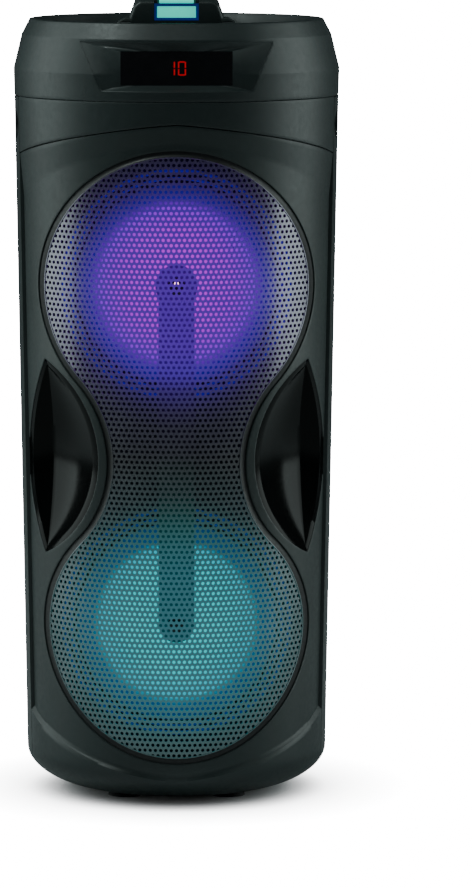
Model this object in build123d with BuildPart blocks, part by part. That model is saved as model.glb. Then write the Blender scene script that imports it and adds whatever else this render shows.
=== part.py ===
from build123d import *
import math
import os

# Party speaker: a tapered round tower with two woofers behind one figure-eight grille,
# a cap with a numeric display, a recessed control well crossed by a lit carrying handle,
# and a jack panel at the rear.
# Millimetres. +Z is up, the floor is Z = 0, and the grille faces -Y.

# ---------------------------------------------------------------- driving dimensions
# Body
foot_height = 3.0
body_height = 534.5            # foot face to the seam under the cap
shoulder_radius = 125.0        # widest ring of the cap
seam_inset = 0.6               # seam radius is this much under the shoulder
body_taper = 9.0               # seam radius less base radius
base_rounding = 31.0           # height of the rounding round the base
base_sweep = 62.0              # its reach towards the axis
wall = 3.0
fit_gap = 0.3                  # clearance between moulded pieces
split_front = 31.0             # front and rear shells part this far ahead of the axis
seam_groove_width = 1.2
seam_groove_depth = 1.5

# Cap
cap_seam_gap = 0.8
shoulder_rise = 21.0           # seam to shoulder ring
kink_rise = 47.0               # seam to the chamfer's lower edge
rim_rise = 59.0                # seam to the rim
kink_inset = 6.3               # shoulder radius less the radius at the chamfer
rim_inset = 12.5               # shoulder radius less the rim radius
rim_land = 4.0
well_clear = 24.0              # shoulder radius less the control well's radius
well_depth = 27.5              # rim to the panel's top face
panel_thickness = 3.0
ledge_width = 6.0
skirt_depth = 8.0
skirt_wall = 2.4

# Display
window_half_width = 42.0
window_height = 26.0
window_bottom_rise = 12.6      # seam to the window's lower edge
window_setback = 12.0          # shoulder radius less the window's distance from the axis
window_thickness = 2.5
window_clear = 0.2
facet_reach = 72.2             # half width of the bay's upper edge
facet_setback = 30.0           # shoulder radius less the facet tip's distance from the XZ plane
sill_reach = 56.3              # half width of the bay's lower edge
sill_rise = 8.7                # seam to the bay's lower edge
facet_rise = 44.5              # seam to the bay's upper corners
module_width = 58.0
module_margin = 7.0            # window's height less the module's
module_depth = 4.0
digit_height = 10.7
digit_width = 6.0
digit_stroke = 1.0
digit_gap = 2.2

# Figure-eight grille
upper_circle = 100.4
lower_circle = 96.9
waist_half_width = 48.0
upper_drop = 140.5             # seam to the upper centre
lower_rise = 135.0             # foot face to the lower centre
grille_border = 4.5
grille_recess = 2.8
grille_sheet = 1.0
frame_overlap = 6.0
frame_thickness = 2.2
arch_rise = 23.0               # height of the groove arch over its ends
arch_drop = 16.3               # seam to the crown of the groove arch

# Side scoops, measured on the right-hand one
scoop_half_height = 70.0
scoop_centre_drop = 271.5      # seam to the scoop's middle
scoop_tip_x = 98.6
scoop_outer_x = 109.8
scoop_inner_x = 62.2
scoop_crease_x = 93.0
scoop_crease_setback = 80.0    # shoulder radius less the crease's distance from the axis
scoop_wall = 3.0
scoop_sections = 9

# Woofers
baffle_setback = 67.0          # shoulder radius less the baffle's distance from the axis
baffle_thickness = 8.0
baffle_side_clear = 3.0        # lower grille circle less half the baffle's width
baffle_end_clear = 12.0        # baffle's ends to the foot face and to the seam
frame_radius = 83.0
frame_flange = 8.0             # frame radius less the cutout's radius
surround_flange = 7.0          # frame radius less the surround's radius
surround_land = 3.5            # flat rim of the surround outside its roll
roll_radius = 6.0
cone_lap = 0.5                 # cone's edge past the roll's inner edge
coil_radius = 17.2
coil_wall = 1.2
coil_travel = 11.0             # coil's reach behind the top plate
pole_clearance = 1.2
magnet_radius = 50.0
magnet_bore_clear = 9.0        # magnet's bore less the coil gap's radius
basket_depth = 40.0
basket_leg = 12.0
cap_height = 7.0               # dust cap's crown over its edge
cap_flange = 5.0               # dust cap's radius less the coil gap's radius
plate_thickness = 6.0
magnet_thickness = 16.0
sheet = 1.0                    # cone, surround and spider thickness
screw_edge = 3.7               # frame radius less the screw circle's radius
light_ring_gap = 2.0           # woofer frame to the light ring
light_ring_width = 4.5
light_ring_height = 4.0

# Light bridge in front of the cones
bridge_half_width = 13.7
bridge_thickness = 6.0
bridge_clearance = 5.0         # behind the bridge, in front of the surrounds
hub_radius = 16.0
lens_radius = 7.0

# Handle
handle_end_gap = 13.0          # handle's end to the wall of the well
handle_block = 26.0            # length of each end block
handle_top_half = 32.0
handle_side_half = 37.0
handle_foot_half = 45.0
handle_rise = 16.5             # rim to the handle's top
handle_bar = 22.0              # thickness of the bar
handle_window_half = 15.0
handle_window_height = 9.0
handle_rib = 3.0
strip_half_width = 13.0
strip_thickness = 2.5

# Controls
knob_radius = 11.0
knob_height = 15.0
knob_skirt_gap = 0.8
control_inset = 29.0           # wall of the well to the rows of knobs and buttons
knob_spacing = 52.0
shaft_radius = 3.0
shaft_gap = 0.05
button_radius = 6.0
button_proud = 2.5
button_flange = 1.5
button_spacing = 21.0
button_names = ["mode", "previous", "play", "next", "light"]
button_travel = 0.8
board_thickness = 1.6
board_drop = 11.4              # panel underside to the control board

# Rear jack panel
jack_half_width = 45.0
jack_half_height = 35.0
jack_drop = 72.5               # seam to the panel's middle
jack_setback = 16.0            # shoulder radius less the panel's outer face
jack_plate = 3.0
mic_jack_radius = 3.25
mic_barrel = 6.0
aux_jack_radius = 1.8
aux_barrel = 4.0
inlet_radius = 2.75
inlet_barrel = 5.0
jack_proud = 1.0
port_rim = 1.0
port_depth = 14.0
rocker_rim = 1.5
usb_half_width = 6.3
usb_half_height = 2.6
card_half_width = 12.5
card_half_height = 1.3
rocker_half_width = 6.5
rocker_half_height = 10.0
rocker_gap = 0.4
rocker_depth = 3.0             # panel's face to the rocker's pivot
jack_length = 22.0
board_margin = 1.0             # side of the jack bay to the amplifier board
heat_sink_width = 38.0
heat_sink_height = 30.0
heat_sink_fins = 7
fin_pitch = 5.4
fin_gap = 2.8
component_depth = 14.0
capacitor_radius = 6.3

# Battery
battery_width = 96.0
battery_depth = 50.0
battery_height = 62.0
battery_corner = 4.0
battery_setback = 30.0         # axis to the battery's middle

# Bass port, strap sockets, feet and screws
port_radius = 24.0
port_wall = 3.0
port_length = 70.0
port_rise = 257.0              # foot face to the port's middle
socket_radius = 8.25
socket_depth = 9.0
socket_wall = 2.0
socket_ahead = 19.0            # socket's axis ahead of the body's axis
socket_sink = 0.5              # socket's mouth under the body's face at its front edge
socket_drop = 21.5             # seam to the strap sockets
foot_radius = 13.0
foot_circle = 56.0
foot_stem = 3.0
foot_draft = 12.0
plate_hole = 44.0
plate_flange = 8.0             # lap of the base plate on the shells
shank_radius = 1.6
head_radius = 3.0
head_height = 2.0
small_shank = 1.25
small_head = 2.4
screw_gap = 0.05
well_edge = 9.4                # base radius less the screw wells' distance from the YZ plane
well_radius = 5.0
well_bore = 3.3
cap_screw_angles = (50, 90, 130)
well_floor = 9.0               # front face of the rear shell to the screw head's seat

# ---------------------------------------------------------------- places worked out from them
seam_z = foot_height + body_height
seam_radius = shoulder_radius - seam_inset
base_radius = seam_radius - body_taper
rim_z = seam_z + rim_rise
rim_radius = shoulder_radius - rim_inset
well_wall_radius = shoulder_radius - well_clear
panel_top = rim_z - well_depth
panel_bottom = panel_top - panel_thickness
upper_z = seam_z - upper_drop
lower_z = foot_height + lower_rise
baffle_y = -(shoulder_radius - baffle_setback)
bridge_back_y = baffle_y - sheet * 4 - roll_radius - bridge_clearance
window_y = -(shoulder_radius - window_setback)
window_z = seam_z + window_bottom_rise
jack_y = shoulder_radius - jack_setback
jack_z = seam_z - jack_drop
port_z = foot_height + port_rise
scoop_z = seam_z - scoop_centre_drop
handle_top = rim_z + handle_rise
board_z = panel_bottom - board_drop
woofer_centres = {"upper": upper_z, "lower": lower_z}
cutout_radius = frame_radius - frame_flange
surround_radius = frame_radius - surround_flange
roll_centre = surround_radius - surround_land - roll_radius
cone_radius = roll_centre - roll_radius + cone_lap
screw_circle = frame_radius - screw_edge
light_ring_inner = frame_radius + light_ring_gap
handle_reach = well_wall_radius - handle_end_gap
button_x = well_wall_radius - control_inset
well_x = base_radius - well_edge
well_heights = [foot_height + 57, foot_height + 172, upper_z - 37, seam_z - 40]

os.makedirs("parts", exist_ok=True)


def radius_at(z):
    """Outer radius of the tapered body at height z."""
    return base_radius + (z - foot_height) * body_taper / body_height


def front_depth(x, z):
    """Distance from the XZ plane to the body's outer face at (x, z)."""
    return math.sqrt(max(radius_at(z) ** 2 - x * x, 0.0))


def save(piece, label):
    """Label a finished piece and write it."""
    piece.part.label = label
    export_step(piece.part, f"parts/{label}.step")


def facing(y):
    """Plane parallel to XZ at depth y, whose normal points to the front."""
    return Plane.XZ.offset(-y)


def body_solid(inset, top):
    """Solid of revolution of the body, its wall and base pulled in by inset."""
    bottom = foot_height + inset
    rise = base_rounding - inset
    sweep = base_sweep - inset
    low_radius = radius_at(foot_height) - inset
    lean = body_taper / body_height
    with BuildPart() as solid:
        with BuildSketch(Plane.XZ):
            with BuildLine():
                a = (0, bottom)
                b = (low_radius - sweep, bottom)
                c = (low_radius + lean * rise, bottom + rise)
                d = (radius_at(top) - inset, top)
                e = (0, top)
                Line(a, b)
                centre = (low_radius - sweep, bottom + rise)
                EllipticalCenterArc(centre, sweep + lean * rise, rise, start_angle=-90, arc_size=90)
                Line(c, d)
                Line(d, e)
                Line(e, a)
            make_face()
        revolve(axis=Axis.Z)
    return solid.part


def figure_eight_waist():
    """Centre and radius of the waist arc that touches both grille circles."""
    centre = (upper_z + lower_z) / 2
    radius = upper_circle
    for _ in range(60):
        gap = (centre - upper_z) ** 2 + waist_half_width ** 2 - upper_circle ** 2
        radius = gap / (2 * (upper_circle - waist_half_width))
        squares = upper_circle ** 2 - lower_circle ** 2 + 2 * radius * (upper_circle - lower_circle)
        centre = (upper_z + lower_z) / 2 - squares / (2 * (upper_z - lower_z))
    return centre, radius


waist_z, waist_radius = figure_eight_waist()
waist_x = waist_half_width + waist_radius


def add_figure_eight(margin):
    """Face of two circles joined by waist arcs, grown by margin on every side."""
    inner_x = waist_x - waist_radius + margin

    def joint(centre, radius, side):
        """Point where a circle meets a waist arc."""
        drop = waist_z - centre
        reach = math.hypot(waist_x, drop)
        return (side * waist_x * radius / reach, centre + drop * radius / reach)

    big = upper_circle + margin
    small = lower_circle + margin
    with BuildLine() as outline:
        ThreePointArc(joint(upper_z, big, 1), (0, upper_z + big), joint(upper_z, big, -1))
        ThreePointArc(joint(upper_z, big, -1), (-inner_x, waist_z), joint(lower_z, small, -1))
        ThreePointArc(joint(lower_z, small, -1), (0, lower_z - small), joint(lower_z, small, 1))
        ThreePointArc(joint(lower_z, small, 1), (inner_x, waist_z), joint(upper_z, big, 1))
    make_face(outline.edges())


def scoop_edge(bulge_x, rise):
    """X of a scoop edge at a height above its middle: an arc through both tips."""
    sagitta = scoop_tip_x - bulge_x
    radius = (scoop_half_height ** 2 + sagitta ** 2) / (2 * sagitta)
    across = math.sqrt(radius ** 2 - rise ** 2) - (abs(radius) - abs(sagitta))
    return scoop_tip_x - math.copysign(across, sagitta)


def scoop_valley(side, grow):
    """Valley-shaped solid that opens to the front, its walls moved out by grow."""
    crease_y = -(shoulder_radius - scoop_crease_setback)
    outside = -(shoulder_radius + 20)
    with BuildPart() as valley:
        for step in range(scoop_sections):
            share = 2 * step / (scoop_sections - 1) - 1
            rise = scoop_half_height * share
            z = scoop_z + (scoop_half_height + grow) * share
            outer = scoop_edge(scoop_outer_x, rise) + grow + 0.5
            inner = scoop_edge(scoop_inner_x, rise) - grow - 0.5
            deep = 1 - share * share
            crease = scoop_tip_x + (scoop_crease_x - scoop_tip_x) * deep
            mouth = -front_depth(outer, z)
            bottom = mouth + (crease_y - mouth) * deep + grow + 1.0
            points = [
                (side * outer, outside),
                (side * outer, mouth + grow),
                (side * crease, max(bottom, mouth + grow + 0.5)),
                (side * inner, -front_depth(inner, z) + grow),
                (side * inner, outside),
            ]
            with BuildSketch(Plane.XY.offset(z)):
                with BuildLine():
                    Polyline(*points, close=True)
                make_face()
        loft(ruled=True)
    return valley.part


outer_body = body_solid(0, seam_z)
inner_body = body_solid(wall, seam_z + 10)
baffle_room = body_solid(wall + fit_gap, seam_z)
groove_floor = body_solid(seam_groove_depth, seam_z)
scoop_cutters = [scoop_valley(side, scoop_wall) for side in (-1, 1)]
scoop_spaces = [scoop_valley(side, 0.0) for side in (-1, 1)]

# ---------------------------------------------------------------- shells
# Posts behind the front shell that carry the baffle.
post_radius = 5.0
post_x = 75.0
post_levels = [upper_z + 103, lower_z - 98]
post_places = [(side * post_x, level) for level in post_levels for side in (-1, 1)]
well_places = [(side * well_x, z) for side in (-1, 1) for z in well_heights]

with BuildPart() as groove_bands:
    with BuildSketch(Plane.XZ):
        arch_foot = seam_z - arch_drop - arch_rise
        reach = shoulder_radius + 5
        band = seam_groove_width
        with BuildLine():
            ThreePointArc((-reach, arch_foot), (0, seam_z - arch_drop), (reach, arch_foot))
            Line((reach, arch_foot), (reach, arch_foot - band))
            crown = (0, seam_z - arch_drop - band)
            ThreePointArc((reach, arch_foot - band), crown, (-reach, arch_foot - band))
            Line((-reach, arch_foot - band), (-reach, arch_foot))
        make_face()
    extrude(amount=shoulder_radius + 5)
    with BuildSketch(facing(-split_front)):
        Rectangle(2 * reach, 2 * seam_z)
    extrude(amount=seam_groove_width)

with BuildPart() as seam_grooves:
    add(outer_body)
    add(groove_floor, mode=Mode.SUBTRACT)
    add(groove_bands.part, mode=Mode.INTERSECT)

with BuildPart() as front_shell:
    add(outer_body)
    add(inner_body, mode=Mode.SUBTRACT)
    with BuildSketch(facing(baffle_y)):
        with Locations(*post_places):
            Circle(post_radius)
    extrude(amount=shoulder_radius)
    with BuildSketch(facing(-split_front)):
        with Locations(*well_places):
            Circle(well_radius)
    extrude(amount=shoulder_radius)
    add(outer_body, mode=Mode.INTERSECT)
    split(bisect_by=Plane.XZ.offset(split_front), keep=Keep.TOP)
    with BuildSketch(Plane.XY.offset(foot_height)):
        Circle(plate_hole)
        with PolarLocations(foot_circle, 4, 45):
            Circle(foot_stem + fit_gap)
    extrude(amount=2 * wall, mode=Mode.SUBTRACT)
    with BuildSketch(facing(-split_front - 5)):
        add_figure_eight(grille_border)
    extrude(amount=shoulder_radius, mode=Mode.SUBTRACT)
    with BuildSketch(facing(baffle_y)):
        with Locations(*post_places):
            Circle(shank_radius + screw_gap)
    extrude(amount=12, mode=Mode.SUBTRACT)
    with BuildSketch(facing(-split_front)):
        with Locations(*well_places):
            Circle(shank_radius + screw_gap)
    extrude(amount=12, mode=Mode.SUBTRACT)
    add(seam_grooves.part, mode=Mode.SUBTRACT)
    for cutter in scoop_cutters:
        add(cutter, mode=Mode.SUBTRACT)
save(front_shell, "front_shell")

with BuildPart() as side_scoops:
    for cutter in scoop_cutters:
        add(cutter)
    add(outer_body, mode=Mode.INTERSECT)
    for space in scoop_spaces:
        add(space, mode=Mode.SUBTRACT)
save(side_scoops, "side_scoops")

with BuildPart() as rear_shell:
    add(outer_body)
    add(inner_body, mode=Mode.SUBTRACT)
    # Bay around the jack panel
    with BuildSketch(facing(jack_y)):
        with Locations((0, jack_z)):
            Rectangle(2 * jack_half_width + 2 * wall, 2 * jack_half_height + 2 * wall)
    extrude(amount=-shoulder_radius)
    # Screw wells
    with BuildSketch(facing(-split_front)):
        with Locations(*well_places):
            Circle(well_radius)
    extrude(amount=-shoulder_radius * 1.5)
    add(outer_body, mode=Mode.INTERSECT)
    split(bisect_by=Plane.XZ.offset(split_front), keep=Keep.BOTTOM)
    with BuildSketch(facing(jack_y)):
        with Locations((0, jack_z)):
            Rectangle(2 * jack_half_width, 2 * jack_half_height)
    extrude(amount=-shoulder_radius, mode=Mode.SUBTRACT)
    with BuildSketch(facing(well_floor - split_front)):
        with Locations(*well_places):
            Circle(well_bore)
    extrude(amount=-shoulder_radius * 1.5, mode=Mode.SUBTRACT)
    with BuildSketch(facing(-split_front)):
        with Locations(*well_places):
            Circle(shank_radius + screw_gap)
    extrude(amount=-well_floor, mode=Mode.SUBTRACT)
    # Bass port and strap sockets
    with BuildSketch(facing(0)):
        with Locations((0, port_z)):
            Circle(port_radius + port_wall + fit_gap)
    extrude(amount=-shoulder_radius * 1.5, mode=Mode.SUBTRACT)
    with BuildSketch(Plane.YZ):
        with Locations((-socket_ahead, seam_z - socket_drop)):
            Circle(socket_radius + socket_wall + fit_gap)
    extrude(amount=shoulder_radius * 1.5, both=True, mode=Mode.SUBTRACT)
    with BuildSketch(Plane.XY.offset(foot_height)):
        Circle(plate_hole)
        with PolarLocations(foot_circle, 4, 45):
            Circle(foot_stem + fit_gap)
    extrude(amount=2 * wall, mode=Mode.SUBTRACT)
    # Screw holes for the cap
    for angle in cap_screw_angles:
        spoke = Vector(math.cos(math.radians(angle)), math.sin(math.radians(angle)), 0)
        with BuildSketch(Plane(origin=(0, 0, seam_z - skirt_depth / 2), z_dir=spoke)):
            Circle(shank_radius + screw_gap)
        extrude(amount=shoulder_radius + 5, mode=Mode.SUBTRACT)
        seat = radius_at(seam_z - skirt_depth / 2) - head_height
        with BuildSketch(Plane(origin=spoke * seat + Vector(0, 0, seam_z - skirt_depth / 2), z_dir=spoke)):
            Circle(head_radius + fit_gap)
        extrude(amount=head_height + 2, mode=Mode.SUBTRACT)
save(rear_shell, "rear_shell")

with BuildPart() as base_plate:
    with BuildSketch(Plane.XY.offset(foot_height + wall)):
        Circle(plate_hole + plate_flange)
    extrude(amount=wall)
    with BuildSketch(Plane.XY.offset(foot_height)):
        Circle(plate_hole - fit_gap)
    extrude(amount=wall)
save(base_plate, "base_plate")

with BuildPart() as rubber_feet:
    with BuildSketch(Plane.XY):
        with PolarLocations(foot_circle, 4, 45):
            Circle(foot_radius)
    extrude(amount=foot_height, taper=foot_draft)
    with BuildSketch(Plane.XY.offset(foot_height)):
        with PolarLocations(foot_circle, 4, 45):
            Circle(foot_stem)
    extrude(amount=2 * wall - 1)
save(rubber_feet, "rubber_feet")

with BuildPart() as strap_sockets:
    for side in (-1, 1):
        z = seam_z - socket_drop
        front_edge = socket_ahead + socket_radius + socket_wall
        mouth = side * (math.sqrt(radius_at(z) ** 2 - front_edge ** 2) - socket_sink)
        floor = mouth - side * socket_depth
        with BuildSketch(Plane(origin=(mouth, -socket_ahead, z), z_dir=(-side, 0, 0))):
            Circle(socket_radius + socket_wall)
            Circle(socket_radius, mode=Mode.SUBTRACT)
        extrude(amount=socket_depth)
        with BuildSketch(Plane(origin=(floor, -socket_ahead, z), z_dir=(-side, 0, 0))):
            Circle(socket_radius + socket_wall)
        extrude(amount=socket_wall)
save(strap_sockets, "strap_sockets")

# ---------------------------------------------------------------- cap and display
lintel_rise = window_bottom_rise + window_height + 1.4


def add_bay_plan(back):
    """Plan of the display bay, its back and flared side facets moved back by back."""
    near = window_y + back
    tip = -(shoulder_radius - facet_setback) + back
    slope = (tip - near) / (facet_reach - window_half_width)
    far = facet_reach + 16
    with BuildLine() as outline:
        Polyline(
            (-window_half_width, near),
            (window_half_width, near),
            (far, near + slope * (far - window_half_width)),
            (far, -shoulder_radius - 20),
            (-far, -shoulder_radius - 20),
            (-far, near + slope * (far - window_half_width)),
            close=True,
        )
    make_face(outline.edges())


with BuildPart() as cap_outer:
    with BuildSketch(Plane.XZ):
        with BuildLine():
            Polyline(
                (0, seam_z + cap_seam_gap),
                (seam_radius, seam_z + cap_seam_gap),
                (shoulder_radius, seam_z + shoulder_rise),
                (shoulder_radius - kink_inset, seam_z + kink_rise),
                (rim_radius, rim_z),
                (0, rim_z),
                close=True,
            )
        make_face()
    revolve(axis=Axis.Z)

with BuildPart() as bay_backing:
    with BuildSketch(Plane.XY.offset(seam_z + cap_seam_gap + 2)):
        add_bay_plan(wall)
    extrude(amount=kink_rise - 4)
    add(cap_outer.part, mode=Mode.INTERSECT)

with BuildPart() as bay_space:
    with BuildSketch(facing(0)):
        with BuildLine():
            Polyline(
                (-facet_reach, seam_z + facet_rise),
                (-window_half_width - 3, seam_z + lintel_rise),
                (window_half_width + 3, seam_z + lintel_rise),
                (facet_reach, seam_z + facet_rise),
                (sill_reach, seam_z + sill_rise),
                (-sill_reach, seam_z + sill_rise),
                close=True,
            )
        make_face()
    extrude(amount=shoulder_radius + 10)
    with BuildSketch(Plane.XY.offset(seam_z)):
        add_bay_plan(0)
    extrude(amount=rim_rise, mode=Mode.INTERSECT)

with BuildPart() as top_cap:
    skirt_outer = radius_at(seam_z - skirt_depth) - wall - fit_gap
    with BuildSketch(Plane.XZ):
        with BuildLine():
            Polyline(
                (seam_radius, seam_z + cap_seam_gap),
                (shoulder_radius, seam_z + shoulder_rise),
                (shoulder_radius - kink_inset, seam_z + kink_rise),
                (rim_radius, rim_z),
                (rim_radius - rim_land, rim_z),
                (well_wall_radius, rim_z - 11.5),
                (well_wall_radius, panel_bottom),
                (well_wall_radius - ledge_width, panel_bottom),
                (well_wall_radius - ledge_width, panel_bottom - wall),
                (well_wall_radius + 9, panel_bottom - wall - 2),
                (shoulder_radius - wall - 1, seam_z + shoulder_rise - 4),
                (seam_radius - wall - 1, seam_z + cap_seam_gap + wall),
                (skirt_outer - skirt_wall, seam_z + cap_seam_gap + wall - 1),
                (skirt_outer - skirt_wall, seam_z - skirt_depth),
                (skirt_outer, seam_z - skirt_depth),
                (skirt_outer, seam_z + cap_seam_gap),
                close=True,
            )
        make_face()
    revolve(axis=Axis.Z)
    add(bay_backing.part)
    add(bay_space.part, mode=Mode.SUBTRACT)
    # Pocket for the window and, behind it, the display module
    with BuildSketch(facing(window_y + window_thickness)):
        with Locations((0, window_z + window_height / 2)):
            Rectangle(2 * window_half_width, window_height)
    extrude(amount=window_thickness, mode=Mode.SUBTRACT)
    with BuildSketch(facing(window_y + window_thickness + module_depth + 0.5)):
        with Locations((0, window_z + window_height / 2)):
            Rectangle(module_width + 2, window_height - module_margin + 2)
    extrude(amount=window_thickness + module_depth + 0.5, mode=Mode.SUBTRACT)
    for angle in cap_screw_angles:
        spoke = Vector(math.cos(math.radians(angle)), math.sin(math.radians(angle)), 0)
        with BuildSketch(Plane(origin=(0, 0, seam_z - skirt_depth / 2), z_dir=spoke)):
            Circle(shank_radius + screw_gap)
        extrude(amount=seam_radius - 1, mode=Mode.SUBTRACT)
    with BuildSketch(Plane.XY.offset(panel_bottom - wall - 5)):
        with PolarLocations(well_wall_radius - ledge_width / 2, 4, 45):
            Circle(small_shank + screw_gap)
    extrude(amount=wall + 5, mode=Mode.SUBTRACT)
save(top_cap, "top_cap")


def add_digit(left, segments):
    """Seven-segment digit whose lower left corner is at (left, digit base)."""
    base = window_z + (window_height - digit_height) / 2
    half = digit_height / 2
    s = digit_stroke
    places = {
        "bottom": (left + digit_width / 2, base + s / 2, digit_width - 2 * s, s),
        "middle": (left + digit_width / 2, base + half, digit_width - 2 * s, s),
        "top": (left + digit_width / 2, base + digit_height - s / 2, digit_width - 2 * s, s),
        "low_left": (left + s / 2, base + half / 2, s, half - 0.8),
        "low_right": (left + digit_width - s / 2, base + half / 2, s, half - 0.8),
        "high_left": (left + s / 2, base + half * 1.5, s, half - 0.8),
        "high_right": (left + digit_width - s / 2, base + half * 1.5, s, half - 0.8),
    }
    for name in segments:
        x, z, width, height = places[name]
        with Locations((x, z)):
            Rectangle(width, height)


def add_reading():
    """The lit segments of the two digits."""
    add_digit(-digit_width - digit_gap / 2, ["high_right", "low_right"])
    ring = ["bottom", "top", "low_left", "low_right", "high_left", "high_right"]
    add_digit(digit_gap / 2, ring)


with BuildPart() as display_window:
    with BuildSketch(facing(window_y + window_thickness)):
        with Locations((0, window_z + window_height / 2)):
            Rectangle(2 * (window_half_width - window_clear), window_height - 2 * window_clear)
    extrude(amount=window_thickness)
    with BuildSketch(facing(window_y + window_thickness)):
        add_reading()
    extrude(amount=window_thickness, mode=Mode.SUBTRACT)
save(display_window, "display_window")

with BuildPart() as display_digits:
    with BuildSketch(facing(window_y + window_thickness)):
        add_reading()
    extrude(amount=window_thickness)
save(display_digits, "display_digits")

with BuildPart() as display_module:
    with BuildSketch(facing(window_y + window_thickness + module_depth)):
        with Locations((0, window_z + window_height / 2)):
            Rectangle(module_width, window_height - module_margin)
    extrude(amount=module_depth)
save(display_module, "display_module")

# ---------------------------------------------------------------- grille, frame and baffle
with BuildPart() as grille:
    add(body_solid(grille_recess, seam_z))
    add(body_solid(grille_recess + grille_sheet, seam_z), mode=Mode.SUBTRACT)
    with BuildSketch(Plane.XZ):
        add_figure_eight(0)
    extrude(amount=shoulder_radius, mode=Mode.INTERSECT)
save(grille, "grille")

with BuildPart() as grille_frame:
    frame_inset = grille_recess + grille_sheet
    add(body_solid(frame_inset, seam_z))
    add(body_solid(frame_inset + frame_thickness, seam_z), mode=Mode.SUBTRACT)
    with BuildSketch(Plane.XZ):
        add_figure_eight(grille_border - fit_gap)
    extrude(amount=shoulder_radius, mode=Mode.INTERSECT)
    with BuildSketch(Plane.XZ):
        add_figure_eight(-frame_overlap)
    extrude(amount=shoulder_radius, mode=Mode.SUBTRACT)
save(grille_frame, "grille_frame")

bridge_post_radius = 5.0
bridge_posts = [(0, waist_z - 30), (0, waist_z + 30)]
with BuildPart() as baffle:
    with BuildSketch(facing(baffle_y + baffle_thickness)):
        low = foot_height + baffle_end_clear
        high = seam_z - baffle_end_clear
        with Locations((0, (low + high) / 2)):
            Rectangle(2 * (lower_circle - baffle_side_clear), high - low)
    extrude(amount=baffle_thickness)
    add(baffle_room, mode=Mode.INTERSECT)
    with BuildSketch(facing(baffle_y + baffle_thickness)):
        with Locations((0, upper_z), (0, lower_z)):
            Circle(cutout_radius)
        with Locations(*post_places):
            Circle(shank_radius + screw_gap)
        for centre in (upper_z, lower_z):
            with Locations((0, centre)):
                with PolarLocations(screw_circle, 4, 45):
                    Circle(shank_radius + screw_gap)
    extrude(amount=baffle_thickness, mode=Mode.SUBTRACT)
    with BuildSketch(facing(baffle_y)):
        with Locations(*bridge_posts):
            Circle(bridge_post_radius)
    extrude(amount=baffle_y - bridge_back_y)
    for side in (-1, 1):
        add(scoop_valley(side, scoop_wall + 0.5), mode=Mode.SUBTRACT)
save(baffle, "baffle")

# ---------------------------------------------------------------- light bridge and rings
with BuildPart() as light_bridge:
    with BuildSketch(facing(bridge_back_y)):
        with Locations((0, (upper_z + lower_z) / 2)):
            Rectangle(2 * bridge_half_width, upper_z - lower_z)
        with Locations((0, upper_z)):
            Circle(hub_radius)
        with Locations((0, lower_z)):
            Circle(bridge_half_width)
    extrude(amount=bridge_thickness)
    with BuildSketch(facing(bridge_back_y - bridge_thickness + 2)):
        with Locations((0, upper_z), (0, lower_z)):
            Circle(lens_radius)
    extrude(amount=2, mode=Mode.SUBTRACT)
save(light_bridge, "light_bridge")

with BuildPart() as bridge_lenses:
    with BuildSketch(facing(bridge_back_y - bridge_thickness + 2)):
        with Locations((0, upper_z), (0, lower_z)):
            Circle(lens_radius)
    extrude(amount=2.6)
save(bridge_lenses, "bridge_lenses")

for place, centre in woofer_centres.items():
    with BuildPart() as light_ring:
        with BuildSketch(facing(baffle_y)):
            with Locations((0, centre)):
                Circle(light_ring_inner + light_ring_width)
                Circle(light_ring_inner, mode=Mode.SUBTRACT)
        extrude(amount=light_ring_height)
    save(light_ring, f"light_ring_{place}")

# ---------------------------------------------------------------- woofers
# Sections are drawn as (radius, distance ahead of the baffle).
rim_front = 3.0
cone_neck = -27.0
spider_level = -32.0
gap_radius = coil_radius + coil_wall


def woofer_plane(centre):
    """Section plane of a woofer: local x is the radius, local y points to the front."""
    return Plane(origin=(0, baffle_y, centre), x_dir=(1, 0, 0), z_dir=(0, 0, -1))


def woofer_ring(centre, points):
    """Solid of revolution about a woofer's axis from a closed section."""
    with BuildPart() as ring:
        with BuildSketch(woofer_plane(centre)):
            with BuildLine():
                Polyline(*points, close=True)
            make_face()
        revolve(axis=Axis((0, baffle_y, centre), (0, 1, 0)))
    return ring


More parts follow.
